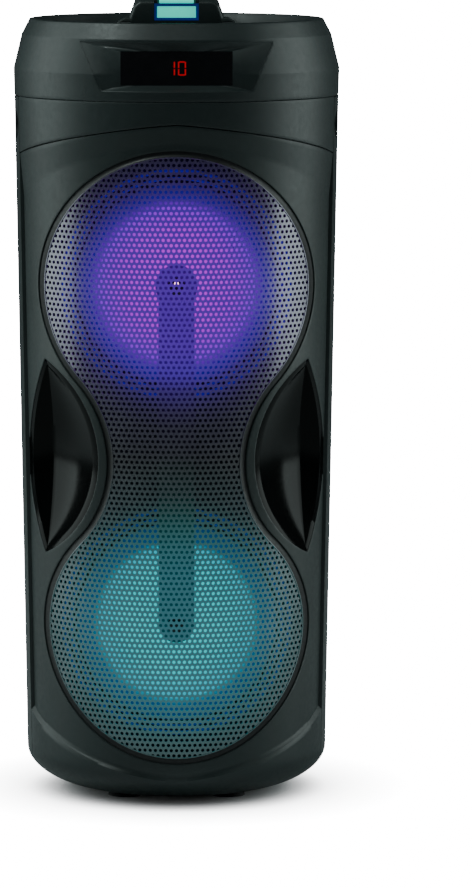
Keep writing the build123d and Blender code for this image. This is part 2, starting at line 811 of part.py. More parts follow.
for place, centre in woofer_centres.items():
    floor = -basket_depth
    basket_wall = woofer_ring(centre, [
        (frame_radius, 0), (cutout_radius - 1, 0), (magnet_radius - 2, floor + 6),
        (magnet_radius - 2, floor), (gap_radius + 5, floor), (gap_radius + 5, floor + 2),
        (magnet_radius - 8, floor + 2), (magnet_radius - 8, spider_level),
        (magnet_radius - 3, spider_level), (cutout_radius - 2.5, 0),
        (cutout_radius - 2.5, rim_front), (frame_radius, rim_front),
    ])
    with BuildPart() as basket:
        add(basket_wall.part)
        # Windows between the legs of the basket
        with BuildSketch(Plane.XZ.offset(-baffle_y - 5)):
            with Locations((0, centre)):
                Circle(cutout_radius - 8)
                Circle(magnet_radius + 2, mode=Mode.SUBTRACT)
                with PolarLocations(0, 6):
                    Rectangle(2 * frame_radius, basket_leg, mode=Mode.SUBTRACT)
        extrude(amount=-basket_depth, mode=Mode.SUBTRACT)
        with BuildSketch(facing(baffle_y)):
            with Locations((0, centre)):
                with PolarLocations(screw_circle, 4, 45):
                    Circle(shank_radius + 2 * screw_gap)
        extrude(amount=rim_front, mode=Mode.SUBTRACT)
    save(basket, f"basket_{place}")

    thin = roll_radius - sheet
    side_step = math.sqrt(roll_radius ** 2 - sheet ** 2)
    with BuildPart() as surround:
        with BuildSketch(woofer_plane(centre)):
            lip = rim_front + sheet
            with BuildLine():
                Line((cone_radius - 1.5, rim_front), (roll_centre - thin, rim_front))
                ThreePointArc(
                    (roll_centre - thin, rim_front),
                    (roll_centre, rim_front + thin),
                    (roll_centre + thin, rim_front),
                )
                Line((roll_centre + thin, rim_front), (surround_radius, rim_front))
                Line((surround_radius, rim_front), (surround_radius, lip))
                Line((surround_radius, lip), (roll_centre + side_step, lip))
                ThreePointArc(
                    (roll_centre + side_step, lip),
                    (roll_centre, rim_front + roll_radius),
                    (roll_centre - side_step, lip),
                )
                Line((roll_centre - side_step, lip), (cone_radius - 1.5, lip))
                Line((cone_radius - 1.5, lip), (cone_radius - 1.5, rim_front))
            make_face()
        revolve(axis=Axis((0, baffle_y, centre), (0, 1, 0)))
    save(surround, f"surround_{place}")

    cone = woofer_ring(centre, [
        (gap_radius - 0.4, cone_neck), (gap_radius + 0.8, cone_neck - 0.6),
        (cone_radius, rim_front - 1.2), (cone_radius, rim_front), (cone_radius - 1.5, rim_front),
    ])
    save(cone, f"cone_{place}")

    slope = (rim_front - cone_neck) / (cone_radius - 1.5 - gap_radius + 0.4)
    cap_edge = gap_radius + cap_flange
    cap_level = cone_neck + slope * (cap_edge - gap_radius + 0.4) + 0.05
    dome = (cap_edge ** 2 + cap_height ** 2) / (2 * cap_height)
    with BuildPart() as dust_cap:
        with BuildSketch(woofer_plane(centre)):
            base = cap_level + cap_height - dome
            outer_turn = math.asin(cap_edge / dome)
            inner_turn = math.acos((cap_level - base) / (dome - sheet))
            with BuildLine():
                outer_start = (0, base + dome)
                outer_mid = (dome * math.sin(outer_turn / 2), base + dome * math.cos(outer_turn / 2))
                outer_end = (cap_edge, cap_level)
                inner_start = ((dome - sheet) * math.sin(inner_turn), cap_level)
                inner_mid = (
                    (dome - sheet) * math.sin(inner_turn / 2),
                    base + (dome - sheet) * math.cos(inner_turn / 2),
                )
                inner_end = (0, base + dome - sheet)
                ThreePointArc(outer_start, outer_mid, outer_end)
                Line(outer_end, inner_start)
                ThreePointArc(inner_start, inner_mid, inner_end)
                Line(inner_end, outer_start)
            make_face()
        revolve(axis=Axis((0, baffle_y, centre), (0, 1, 0)))
    save(dust_cap, f"dust_cap_{place}")

    coil_end = floor - plate_thickness - coil_travel
    voice_coil = woofer_ring(centre, [
        (coil_radius - coil_wall / 2, cone_neck), (coil_radius - coil_wall / 2, coil_end),
        (coil_radius + coil_wall / 2, coil_end), (coil_radius + coil_wall / 2, cone_neck),
    ])
    save(voice_coil, f"voice_coil_{place}")

    waves = 5
    wave_width = (magnet_radius - 4 - gap_radius) / waves
    crest = [spider_level + (1.0 if step % 2 else 0.0) for step in range(waves + 1)]
    line = [(gap_radius + wave_width * step, crest[step]) for step in range(waves + 1)]
    line[-1] = (magnet_radius - 3.6, spider_level)
    line[-2] = (magnet_radius - 8, spider_level)
    spider = woofer_ring(centre, line + [(r, level + sheet) for r, level in reversed(line)])
    save(spider, f"spider_{place}")

    back = floor - plate_thickness
    top_plate = woofer_ring(centre, [
        (gap_radius, floor), (magnet_radius - 2, floor), (magnet_radius - 2, back), (gap_radius, back),
    ])
    save(top_plate, f"top_plate_{place}")

    magnet_back = back - magnet_thickness
    magnet = woofer_ring(centre, [
        (gap_radius + magnet_bore_clear, back), (magnet_radius, back),
        (magnet_radius, magnet_back), (gap_radius + magnet_bore_clear, magnet_back),
    ])
    save(magnet, f"magnet_{place}")

    pole = coil_radius - pole_clearance
    yoke = woofer_ring(centre, [
        (0, floor), (pole, floor), (pole, magnet_back), (magnet_radius - 4, magnet_back),
        (magnet_radius - 4, magnet_back - plate_thickness), (0, magnet_back - plate_thickness),
    ])
    save(yoke, f"yoke_{place}")

# ---------------------------------------------------------------- control well and handle
button_places = [(button_x, (i - 2) * button_spacing) for i in range(len(button_names))]
knob_places = [(-button_x, -knob_spacing / 2), (-button_x, knob_spacing / 2)]
panel_posts = [(-35.0, -60.0), (35.0, -60.0), (-35.0, 60.0), (35.0, 60.0)]
panel_hole = button_radius + fit_gap
with BuildPart() as control_panel:
    with BuildSketch(Plane.XY.offset(panel_bottom)):
        Circle(well_wall_radius - fit_gap)
        with Locations(*button_places):
            Circle(panel_hole, mode=Mode.SUBTRACT)
        with Locations(*knob_places):
            Circle(shaft_radius + 1, mode=Mode.SUBTRACT)
        with PolarLocations(well_wall_radius - ledge_width / 2, 4, 45):
            Circle(small_shank + 2 * screw_gap, mode=Mode.SUBTRACT)
    extrude(amount=panel_thickness)
    with BuildSketch(Plane.XY.offset(board_z + board_thickness)):
        with Locations(*panel_posts):
            Circle(3.0)
    extrude(amount=panel_bottom - board_z - board_thickness)
save(control_panel, "control_panel")

with BuildPart() as control_board:
    with BuildSketch(Plane.XY.offset(board_z)):
        Circle(well_wall_radius - ledge_width - 3)
        Rectangle(260, 150, mode=Mode.INTERSECT)
    extrude(amount=board_thickness)
    # Potentiometers with their shafts, and a switch under each button
    with BuildSketch(Plane.XY.offset(board_z + board_thickness)):
        with Locations(*knob_places):
            Rectangle(16, 16)
    extrude(amount=7)
    with BuildSketch(Plane.XY.offset(board_z + board_thickness)):
        with Locations(*knob_places):
            Circle(shaft_radius)
    extrude(amount=panel_top - board_z - board_thickness + knob_height - 4)
    with BuildSketch(Plane.XY.offset(board_z + board_thickness)):
        with Locations(*button_places):
            Rectangle(6, 6)
    extrude(amount=panel_bottom - button_flange - button_travel - 0.4 - board_z - board_thickness)
save(control_board, "control_board")

for name, (x, y) in zip(("volume", "mic_volume"), knob_places):
    with BuildPart() as knob:
        low = panel_top + knob_skirt_gap
        with BuildSketch(Plane.XY.offset(low)):
            with Locations((x, y)):
                Circle(knob_radius)
        extrude(amount=knob_height)
        chamfer(knob.faces().sort_by(Axis.Z)[-1].edges(), 1.0)
        with BuildSketch(Plane.XY.offset(low)):
            with Locations((x, y)):
                Circle(shaft_radius + shaft_gap)
        extrude(amount=knob_height - 4, mode=Mode.SUBTRACT)
    save(knob, f"{name}_knob")

for name, (x, y) in zip(button_names, button_places):
    with BuildPart() as button:
        with BuildSketch(Plane.XY.offset(panel_bottom - button_flange)):
            with Locations((x, y)):
                Circle(button_radius + 1.5)
        extrude(amount=button_flange)
        with BuildSketch(Plane.XY.offset(panel_bottom)):
            with Locations((x, y)):
                Circle(button_radius)
        extrude(amount=panel_thickness + button_proud)
        chamfer(button.faces().sort_by(Axis.Z)[-1].edges(), 0.8)
    save(button, f"{name}_button")

with BuildPart() as handle:
    # Bar, from its underside up
    with BuildSketch(Plane.XZ.offset(-handle_reach)):
        with BuildLine():
            Polyline(
                (-handle_side_half, handle_top - handle_bar),
                (handle_side_half, handle_top - handle_bar),
                (handle_side_half, rim_z + 2),
                (handle_top_half, handle_top),
                (-handle_top_half, handle_top),
                (-handle_side_half, rim_z + 2),
                close=True,
            )
        make_face()
    extrude(amount=2 * handle_reach)
    # End blocks down to the panel
    with BuildSketch(Plane.XY.offset(panel_top)):
        for end in (-1, 1):
            with Locations((0, end * (handle_reach - handle_block / 2))):
                Rectangle(2 * handle_foot_half, handle_block)
    extrude(amount=rim_z + 1 - panel_top)
    slopes = handle.edges().filter_by(Axis.Y).group_by(Axis.Z)[-1]
    fillet(slopes, 4.0)
    # Pockets for the light in the front face and along the top
    with BuildSketch(Plane.XZ.offset(handle_reach - 3)):
        with Locations((0, handle_top - handle_rib - 1.5 - handle_window_height / 2)):
            Rectangle(2 * handle_window_half, handle_window_height)
    extrude(amount=3, mode=Mode.SUBTRACT)
    with BuildSketch(Plane.XY.offset(handle_top - strip_thickness)):
        Rectangle(2 * strip_half_width, 2 * (handle_reach - 6))
    extrude(amount=strip_thickness, mode=Mode.SUBTRACT)
save(handle, "handle")

with BuildPart() as handle_light:
    with BuildSketch(Plane.XZ.offset(handle_reach - 3)):
        with Locations((0, handle_top - handle_rib - 1.5 - handle_window_height / 2)):
            Rectangle(2 * handle_window_half, handle_window_height)
    extrude(amount=3)
    with BuildSketch(Plane.XY.offset(handle_top - strip_thickness)):
        Rectangle(2 * strip_half_width, 2 * (handle_reach - 6))
    extrude(amount=strip_thickness)
save(handle_light, "handle_light")

# ---------------------------------------------------------------- rear jack panel
mic_place = (-30.0, jack_z + 17)
aux_place = (-30.0, jack_z - 8)
usb_place = (-6.0, jack_z + 17)
card_place = (-2.0, jack_z - 8)
inlet_place = (22.0, jack_z - 14)
rocker_place = (30.0, jack_z + 14)
board_y = jack_y - jack_plate - jack_length + jack_proud
panel_slots = [
    (usb_place, usb_half_width, usb_half_height, port_rim),
    (card_place, card_half_width, card_half_height, port_rim),
    (rocker_place, rocker_half_width, rocker_half_height, rocker_rim),
]

with BuildPart() as jack_panel:
    with BuildSketch(facing(jack_y)):
        with Locations((0, jack_z)):
            Rectangle(2 * jack_half_width + 2 * wall, 2 * jack_half_height + 2 * wall)
        for place, barrel in ((mic_place, mic_barrel), (aux_place, aux_barrel), (inlet_place, inlet_barrel)):
            with Locations(place):
                Circle(barrel + fit_gap, mode=Mode.SUBTRACT)
        for place, half_width, half_height, rim in panel_slots:
            grow = rim + fit_gap
            with Locations(place):
                Rectangle(2 * (half_width + grow), 2 * (half_height + grow), mode=Mode.SUBTRACT)
    extrude(amount=jack_plate)
save(jack_panel, "jack_panel")


def round_jack(place, outer, bore):
    """Barrel jack whose mouth is just proud of the panel."""
    with BuildPart() as jack:
        with BuildSketch(facing(jack_y + jack_proud)):
            with Locations(place):
                Circle(outer)
        extrude(amount=jack_length + jack_plate)
        with BuildSketch(facing(jack_y + jack_proud)):
            with Locations(place):
                Circle(bore)
        extrude(amount=jack_length - 2, mode=Mode.SUBTRACT)
    return jack


def slot_port(place, half_width, half_height):
    """Rectangular port whose mouth is flush with the panel."""
    with BuildPart() as port:
        with BuildSketch(facing(jack_y + 0.5)):
            with Locations(place):
                Rectangle(2 * (half_width + port_rim), 2 * (half_height + port_rim))
        extrude(amount=jack_length + jack_plate - 0.5)
        with BuildSketch(facing(jack_y + 0.5)):
            with Locations(place):
                Rectangle(2 * half_width, 2 * half_height)
        extrude(amount=port_depth, mode=Mode.SUBTRACT)
    return port


save(round_jack(mic_place, mic_barrel, mic_jack_radius), "mic_jack")
save(round_jack(aux_place, aux_barrel, aux_jack_radius), "aux_jack")
save(round_jack(inlet_place, inlet_barrel, inlet_radius), "charge_inlet")
save(slot_port(usb_place, usb_half_width, usb_half_height), "usb_port")
save(slot_port(card_place, card_half_width, card_half_height), "card_slot")

with BuildPart() as switch_housing:
    with BuildSketch(facing(jack_y + 0.8)):
        with Locations(rocker_place):
            Rectangle(2 * (rocker_half_width + rocker_rim), 2 * (rocker_half_height + rocker_rim))
    extrude(amount=16)
    with BuildSketch(facing(jack_y + 0.8)):
        with Locations(rocker_place):
            Rectangle(2 * (rocker_half_width + rocker_gap), 2 * (rocker_half_height + rocker_gap))
    extrude(amount=11, mode=Mode.SUBTRACT)
save(switch_housing, "switch_housing")

rocker_pivot_y = jack_y - rocker_depth
with BuildPart() as power_rocker:
    x, z = rocker_place
    with BuildSketch(Plane.YZ.offset(x - rocker_half_width)):
        with BuildLine():
            tip = rocker_half_height - 0.6
            Polyline(
                (rocker_pivot_y + 3.0, z),
                (rocker_pivot_y + 5.0, z + tip),
                (rocker_pivot_y + 0.5, z + tip),
                (rocker_pivot_y - 3.0, z + 3),
                (rocker_pivot_y - 3.0, z - 3),
                (rocker_pivot_y + 0.5, z - tip),
                (rocker_pivot_y + 5.0, z - tip),
                close=True,
            )
        make_face()
    extrude(amount=2 * rocker_half_width)
save(power_rocker, "power_rocker")

sink_place = (-18, jack_z + 12)
with BuildPart() as amplifier_board:
    with BuildSketch(facing(board_y)):
        with Locations((0, jack_z)):
            Rectangle(2 * (jack_half_width - board_margin), 2 * (jack_half_height - 2 * board_margin))
    extrude(amount=board_thickness)
    # Heat sink, inductors and capacitors on the inner side
    with BuildSketch(facing(board_y - board_thickness)):
        with Locations(sink_place):
            Rectangle(heat_sink_width, heat_sink_height)
        with Locations((16, jack_z + 18), (32, jack_z + 18), (16, jack_z - 16), (32, jack_z - 16)):
            Circle(capacitor_radius)
    extrude(amount=component_depth)
    with BuildSketch(facing(board_y - board_thickness - 4)):
        with Locations(sink_place):
            with GridLocations(fin_pitch, 0, heat_sink_fins, 1):
                Rectangle(fin_gap, heat_sink_height + 2)
    extrude(amount=component_depth, mode=Mode.SUBTRACT)
save(amplifier_board, "amplifier_board")

with BuildPart() as battery_pack:
    with BuildSketch(Plane.XY.offset(foot_height + 2 * wall)):
        with Locations((0, battery_setback)):
            Rectangle(battery_width, battery_depth)
    extrude(amount=battery_height)
    fillet(battery_pack.edges().filter_by(Axis.Z), battery_corner)
save(battery_pack, "battery_pack")

with BuildPart() as bass_port:
    with BuildSketch(facing(shoulder_radius - port_length)):
        with Locations((0, port_z)):
            Circle(port_radius + port_wall)
            Circle(port_radius, mode=Mode.SUBTRACT)
    extrude(amount=-port_length - 10)
    add(outer_body, mode=Mode.INTERSECT)
save(bass_port, "bass_port")

# ---------------------------------------------------------------- fasteners


def screws(plane_at, places, length, shank=shank_radius, head=head_radius):
    """Row of pan-head screws: head ahead of the plane, shank behind it."""
    with BuildPart() as group:
        with BuildSketch(plane_at):
            with Locations(*places):
                Circle(head)
        extrude(amount=head_height)
        with BuildSketch(plane_at):
            with Locations(*places):
                Circle(shank)
        extrude(amount=-length)
        with BuildSketch(plane_at.offset(head_height - 0.9)):
            with Locations(*places):
                Rectangle(head * 1.1, 0.7)
                Rectangle(0.7, head * 1.1)
        extrude(amount=0.9, mode=Mode.SUBTRACT)
    return group




def ring_places(radius, centre=0.0):
    """Four places on the diagonals of a circle."""
    step = radius * math.sqrt(0.5)
    return [(side * step, centre + end * step) for side in (-1, 1) for end in (-1, 1)]


woofer_holes = ring_places(screw_circle, upper_z) + ring_places(screw_circle, lower_z)
save(screws(facing(baffle_y - rim_front), woofer_holes, 10), "woofer_screws")

rear_looking = Plane(origin=(0, baffle_y + baffle_thickness, 0), x_dir=(-1, 0, 0), z_dir=(0, 1, 0))
baffle_screws = screws(rear_looking, [(-x, z) for x, z in post_places], baffle_thickness + 8)
well_plane = Plane(origin=(0, well_floor - split_front, 0), x_dir=(-1, 0, 0), z_dir=(0, 1, 0))
shell_screws = screws(well_plane, [(-x, z) for x, z in well_places], well_floor + 8)

# Screws of one size hold the baffle, the two shells and the cap together
with BuildPart() as housing_screws:
    add(baffle_screws.part)
    add(shell_screws.part)
    for angle in cap_screw_angles:
        level = seam_z - skirt_depth / 2
        spoke = Vector(math.cos(math.radians(angle)), math.sin(math.radians(angle)), 0)
        seat = Plane(origin=spoke * (radius_at(level) - head_height) + Vector(0, 0, level), z_dir=spoke)
        with BuildSketch(seat):
            Circle(head_radius)
        extrude(amount=head_height - 0.4)
        with BuildSketch(seat):
            Circle(shank_radius)
        extrude(amount=-7)
save(housing_screws, "housing_screws")

ledge_holes = ring_places(well_wall_radius - ledge_width / 2)
panel_screws = screws(
    Plane.XY.offset(panel_top), ledge_holes, panel_thickness + wall, small_shank, small_head
)
save(panel_screws, "panel_screws")
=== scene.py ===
"""Looks of a tall round party speaker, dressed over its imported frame.

Each sub-assembly is a class that reads its places from the frame, builds its
meshes in millimetres and dresses them. Lengths are millimetres until a mesh
is handed to Blender, which works in metres.
"""

import logging
import math
from dataclasses import dataclass, field
from enum import Enum
from typing import Callable, Iterable, Optional, Sequence

import bmesh
import bpy
import numpy as np
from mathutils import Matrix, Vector


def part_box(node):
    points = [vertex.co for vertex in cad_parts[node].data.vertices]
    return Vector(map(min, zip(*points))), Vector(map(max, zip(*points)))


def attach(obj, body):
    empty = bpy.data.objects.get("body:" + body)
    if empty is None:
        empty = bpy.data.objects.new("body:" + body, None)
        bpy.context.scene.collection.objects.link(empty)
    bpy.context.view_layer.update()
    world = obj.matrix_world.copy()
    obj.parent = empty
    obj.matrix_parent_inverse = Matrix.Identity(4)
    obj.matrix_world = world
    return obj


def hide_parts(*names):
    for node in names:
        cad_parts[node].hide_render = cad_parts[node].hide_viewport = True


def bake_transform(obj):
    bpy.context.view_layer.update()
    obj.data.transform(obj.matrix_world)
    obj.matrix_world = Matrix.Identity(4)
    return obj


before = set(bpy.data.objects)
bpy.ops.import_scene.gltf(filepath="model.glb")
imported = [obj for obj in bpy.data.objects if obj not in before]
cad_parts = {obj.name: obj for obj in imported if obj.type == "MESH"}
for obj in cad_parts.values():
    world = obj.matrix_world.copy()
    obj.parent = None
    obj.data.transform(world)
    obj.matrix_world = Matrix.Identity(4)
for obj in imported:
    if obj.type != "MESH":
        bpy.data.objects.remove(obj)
log = logging.getLogger("speaker")

MM = 0.001
CABINET = "cabinet"
CLOUD_LOW, CLOUD_HIGH = 0.3, 0.7        # part of a noise's range that shows
MIX_FIRST, MIX_SECOND, MIX_RESULT = 6, 7, 2    # colour sockets of a mix node
Colour = tuple[float, float, float]
Points = np.ndarray
Faces = list[list[int]]


class Place(Enum):
    """The two woofer positions."""

    UPPER = "upper"
    LOWER = "lower"


class Side(Enum):
    """Left and right as seen by a person facing the grille."""

    LEFT = -1
    RIGHT = 1


# ---------------------------------------------------------------- finishes


def scaled(colour: Colour, factor: float) -> Colour:
    """A colour made darker or lighter."""
    return tuple(min(1.0, c * factor) for c in colour)


class NodeSheet:
    """A material's node tree, with short ways to add and join nodes."""

    def __init__(self, name: str) -> None:
        """Start a material.

        Args:
            name: Name of the material.
        """
        self.material = bpy.data.materials.new(name)
        self.material.use_nodes = True
        self.tree = self.material.node_tree
        self.tree.nodes.clear()
        self.surface = self.tree.nodes.new("ShaderNodeBsdfPrincipled")
        output = self.tree.nodes.new("ShaderNodeOutputMaterial")
        self.tree.links.new(self.surface.outputs["BSDF"], output.inputs["Surface"])
        self.place = self.tree.nodes.new("ShaderNodeTexCoord").outputs["Object"]

    def join(self, source: bpy.types.NodeSocket, target: bpy.types.NodeSocket) -> None:
        """Link two sockets."""
        self.tree.links.new(source, target)

    def set(self, **values: object) -> None:
        """Set constants on the surface shader's own sockets.

        Args:
            values: Socket names, with underscores for spaces, and values.
        """
        for name, value in values.items():
            self.surface.inputs[name.replace("_", " ")].default_value = value

    def noise(self, size_mm: float, detail: float = 3.0,
              rough: float = 0.5) -> bpy.types.NodeSocket:
        """Noise in object space.

        Args:
            size_mm: Size of its largest features.
            detail: Octaves.
            rough: Share kept by each finer octave.

        Returns:
            The noise's factor socket.
        """
        node = self.tree.nodes.new("ShaderNodeTexNoise")
        node.inputs["Scale"].default_value = 1.0 / (size_mm * MM)
        node.inputs["Detail"].default_value = detail
        node.inputs["Roughness"].default_value = rough
        self.join(self.place, node.inputs["Vector"])
        return node.outputs["Fac"]

    def bands(self, size_mm: float, axis: str, warp: float = 0.0) -> bpy.types.NodeSocket:
        """Parallel bands across an axis.

        Args:
            size_mm: Width of one band.
            axis: X, Y or Z.
            warp: Distortion of the bands.

        Returns:
            The bands' factor socket.
        """
        node = self.tree.nodes.new("ShaderNodeTexWave")
        node.bands_direction = axis
        node.inputs["Scale"].default_value = 0.314 / (size_mm * MM)
        node.inputs["Distortion"].default_value = warp
        self.join(self.place, node.inputs["Vector"])
        return node.outputs["Fac"]

    def ramp(self, source: bpy.types.NodeSocket,
             stops: Sequence[tuple[float, Colour]]) -> bpy.types.NodeSocket:
        """Colours looked up from a factor.

        Args:
            source: Factor socket.
            stops: Positions from 0 to 1 and their colours.

        Returns:
            The colour socket.
        """
        node = self.tree.nodes.new("ShaderNodeValToRGB")
        node.color_ramp.interpolation = "LINEAR"
        elements = node.color_ramp.elements
        while len(elements) < len(stops):
            elements.new(0.5)
        for element, (position, colour) in zip(elements, stops):
            element.position = position
            element.color = (*colour, 1.0)
        self.join(source, node.inputs["Fac"])
        return node.outputs["Color"]

    def span(self, source: bpy.types.NodeSocket, low: float, high: float,
             start: float = 0.0, end: float = 1.0) -> bpy.types.NodeSocket:
        """Map a factor's range to another.

        Args:
            source: Factor socket.
            low: Result at start.
            high: Result at end.
            start: Lower end of the source range.
            end: Upper end of the source range.

        Returns:
            The mapped value's socket.
        """
        node = self.tree.nodes.new("ShaderNodeMapRange")
        node.inputs["From Min"].default_value = start
        node.inputs["From Max"].default_value = end
        node.inputs["To Min"].default_value = low
        node.inputs["To Max"].default_value = high
        self.join(source, node.inputs["Value"])
        return node.outputs["Result"]

    def math(self, operation: str, first: object, second: object = 0.0) -> bpy.types.NodeSocket:
        """One arithmetic step on sockets or numbers.

        Args:
            operation: Name of the operation.
            first: Socket or number.
            second: Socket or number.

        Returns:
            The result's socket.
        """
        node = self.tree.nodes.new("ShaderNodeMath")
        node.operation = operation
        for slot, value in zip(node.inputs, (first, second)):
            if isinstance(value, (int, float)):
                slot.default_value = value
            else:
                self.join(value, slot)
        return node.outputs[0]

    def add(self, first: bpy.types.NodeSocket,
            second: bpy.types.NodeSocket) -> bpy.types.NodeSocket:
        """Sum of two colours.

        Args:
            first: Colour below.
            second: Colour above.

        Returns:
            The summed colour's socket.
        """
        node = self.tree.nodes.new("ShaderNodeMix")
        node.data_type = "RGBA"
        node.blend_type = "ADD"
        node.inputs["Factor"].default_value = 1.0
        self.join(first, node.inputs[MIX_FIRST])
        self.join(second, node.inputs[MIX_SECOND])
        return node.outputs[MIX_RESULT]

    def distance(self, height: float) -> bpy.types.NodeSocket:
        """Distance in millimetres, seen from the front, from a point on the middle line.

        Args:
            height: The point's height in millimetres.

        Returns:
            The distance's socket.
        """
        shift = self.tree.nodes.new("ShaderNodeVectorMath")
        shift.operation = "SUBTRACT"
        self.join(self.place, shift.inputs[0])
        shift.inputs[1].default_value = (0.0, 0.0, height * MM)
        scale = self.tree.nodes.new("ShaderNodeVectorMath")
        scale.operation = "MULTIPLY"
        self.join(shift.outputs[0], scale.inputs[0])
        scale.inputs[1].default_value = (1 / MM, 0.0, 1 / MM)
        size = self.tree.nodes.new("ShaderNodeVectorMath")
        size.operation = "LENGTH"
        self.join(scale.outputs[0], size.inputs[0])
        return size.outputs["Value"]

    def base(self, source: bpy.types.NodeSocket, stops: Sequence[tuple[float, Colour]]) -> None:
        """Colour the surface from a factor."""
        self.join(self.ramp(source, stops), self.surface.inputs["Base Color"])

    def rough(self, source: bpy.types.NodeSocket, low: float, high: float,
              start: float = 0.0, end: float = 1.0) -> None:
        """Set the surface's roughness from a factor."""
        self.join(self.span(source, low, high, start, end), self.surface.inputs["Roughness"])

    def bump(self, height: bpy.types.NodeSocket, depth_mm: float, strength: float = 1.0) -> None:
        """Relief on the surface.

        Args:
            height: Height factor socket.
            depth_mm: Depth of the relief.
            strength: Share of the effect.
        """
        node = self.tree.nodes.new("ShaderNodeBump")
        node.inputs["Strength"].default_value = strength
        node.inputs["Distance"].default_value = depth_mm * MM
        self.join(height, node.inputs["Height"])
        self.join(node.outputs["Normal"], self.surface.inputs["Normal"])


@dataclass(frozen=True)
class Moulding:
    """Moulded plastic with a fine spark-eroded grain."""

    name: str
    colour: Colour
    roughness: float
    spread: float = 0.06
    grain_mm: float = 0.7
    grain_depth: float = 0.05
    coat: float = 0.0
    shine: float = 0.5

    def material(self) -> bpy.types.Material:
        """Make the material.

        Returns:
            The new material.
        """
        sheet = NodeSheet(self.name)
        wide = sheet.noise(60.0, 4.0)
        sheet.base(wide, [(CLOUD_LOW, scaled(self.colour, 0.82)),
                          (CLOUD_HIGH, scaled(self.colour, 1.18))])
        fine = sheet.noise(self.grain_mm * 6, 5.0, 0.65)
        sheet.rough(fine, self.roughness - self.spread, self.roughness + self.spread,
                    CLOUD_LOW, CLOUD_HIGH)
        sheet.set(Coat_Weight=self.coat, Coat_Roughness=0.12, Specular_IOR_Level=self.shine)
        sheet.bump(sheet.noise(self.grain_mm, 2.0, 0.6), self.grain_depth, 0.5)
        return sheet.material


@dataclass(frozen=True)
class Metal:
    """Turned, pressed or plated metal."""

    name: str
    colour: Colour
    roughness: float
    line_mm: float = 0.4
    axis: str = "Y"

    def material(self) -> bpy.types.Material:
        """Make the material.

        Returns:
            The new material.
        """
        sheet = NodeSheet(self.name)
        lines = sheet.bands(self.line_mm, self.axis, 2.0)
        cloud = sheet.noise(9.0, 4.0)
        sheet.base(cloud, [(CLOUD_LOW, scaled(self.colour, 0.8)), (CLOUD_HIGH, self.colour)])
        sheet.rough(lines, self.roughness * 0.8, self.roughness * 1.3)
        sheet.set(Metallic=1.0)
        sheet.bump(lines, 0.01, 0.3)
        return sheet.material


@dataclass(frozen=True)
class Glow:
    """Frosted diffuser lit from behind; on the handle's bezel it is painted glow."""

    name: str
    colour: Colour
    strength: float
    cloud_mm: float = 14.0

    def material(self) -> bpy.types.Material:
        """Make the material.

        Returns:
            The new material.
        """
        sheet = NodeSheet(self.name)
        cloud = sheet.noise(self.cloud_mm, 3.0)
        shade = sheet.ramp(cloud, [(0.25, scaled(self.colour, 0.78)), (0.75, self.colour)])
        sheet.join(shade, sheet.surface.inputs["Base Color"])
        sheet.join(shade, sheet.surface.inputs["Emission Color"])
        sheet.rough(cloud, 0.25, 0.4)
        sheet.set(Emission_Strength=self.strength)
        return sheet.material


@dataclass(frozen=True)
class Board:
    """Circuit board with copper tracks under green lacquer."""

    name: str = "board_lacquer"
    colour: Colour = (0.01, 0.12, 0.045)
    track: Colour = (0.05, 0.3, 0.12)

    def material(self) -> bpy.types.Material:
        """Make the material.

        Returns:
            The new material.
        """
        sheet = NodeSheet(self.name)
        tracks = sheet.bands(2.2, "X", 9.0)
        sheet.base(tracks, [(0.45, self.colour), (0.6, self.track)])
        sheet.rough(tracks, 0.5, 0.3)
        sheet.bump(tracks, 0.05, 0.5)
        return sheet.material


@dataclass(frozen=True)
class Weave:
    """Resin-dipped cloth of a spider."""

    name: str = "spider_cloth"
    colour: Colour = (0.5, 0.32, 0.12)
    thread_mm: float = 0.8

    def material(self) -> bpy.types.Material:
        """Make the material.

        Returns:
            The new material.
        """
        sheet = NodeSheet(self.name)
        warp = sheet.bands(self.thread_mm, "X")
        weft = sheet.bands(self.thread_mm, "Z")
        cloth = sheet.math("MULTIPLY", warp, weft)
        sheet.base(cloth, [(0.2, scaled(self.colour, 0.6)), (0.8, self.colour)])
        sheet.rough(cloth, 0.9, 0.7)
        sheet.bump(cloth, 0.15, 0.7)
        return sheet.material


@dataclass(frozen=True)
class Smoked:
    """Smoked gloss window."""

    name: str = "smoked_window"
    colour: Colour = (0.004, 0.004, 0.005)

    def material(self) -> bpy.types.Material:
        """Make the material.

        Returns:
            The new material.
        """
        sheet = NodeSheet(self.name)
        haze = sheet.noise(12.0, 5.0)
        sheet.base(haze, [(CLOUD_LOW, self.colour), (CLOUD_HIGH, scaled(self.colour, 1.6))])
        sheet.rough(haze, 0.05, 0.14, CLOUD_LOW, CLOUD_HIGH)
        sheet.set(Coat_Weight=0.6, Coat_Roughness=0.04)
        return sheet.material


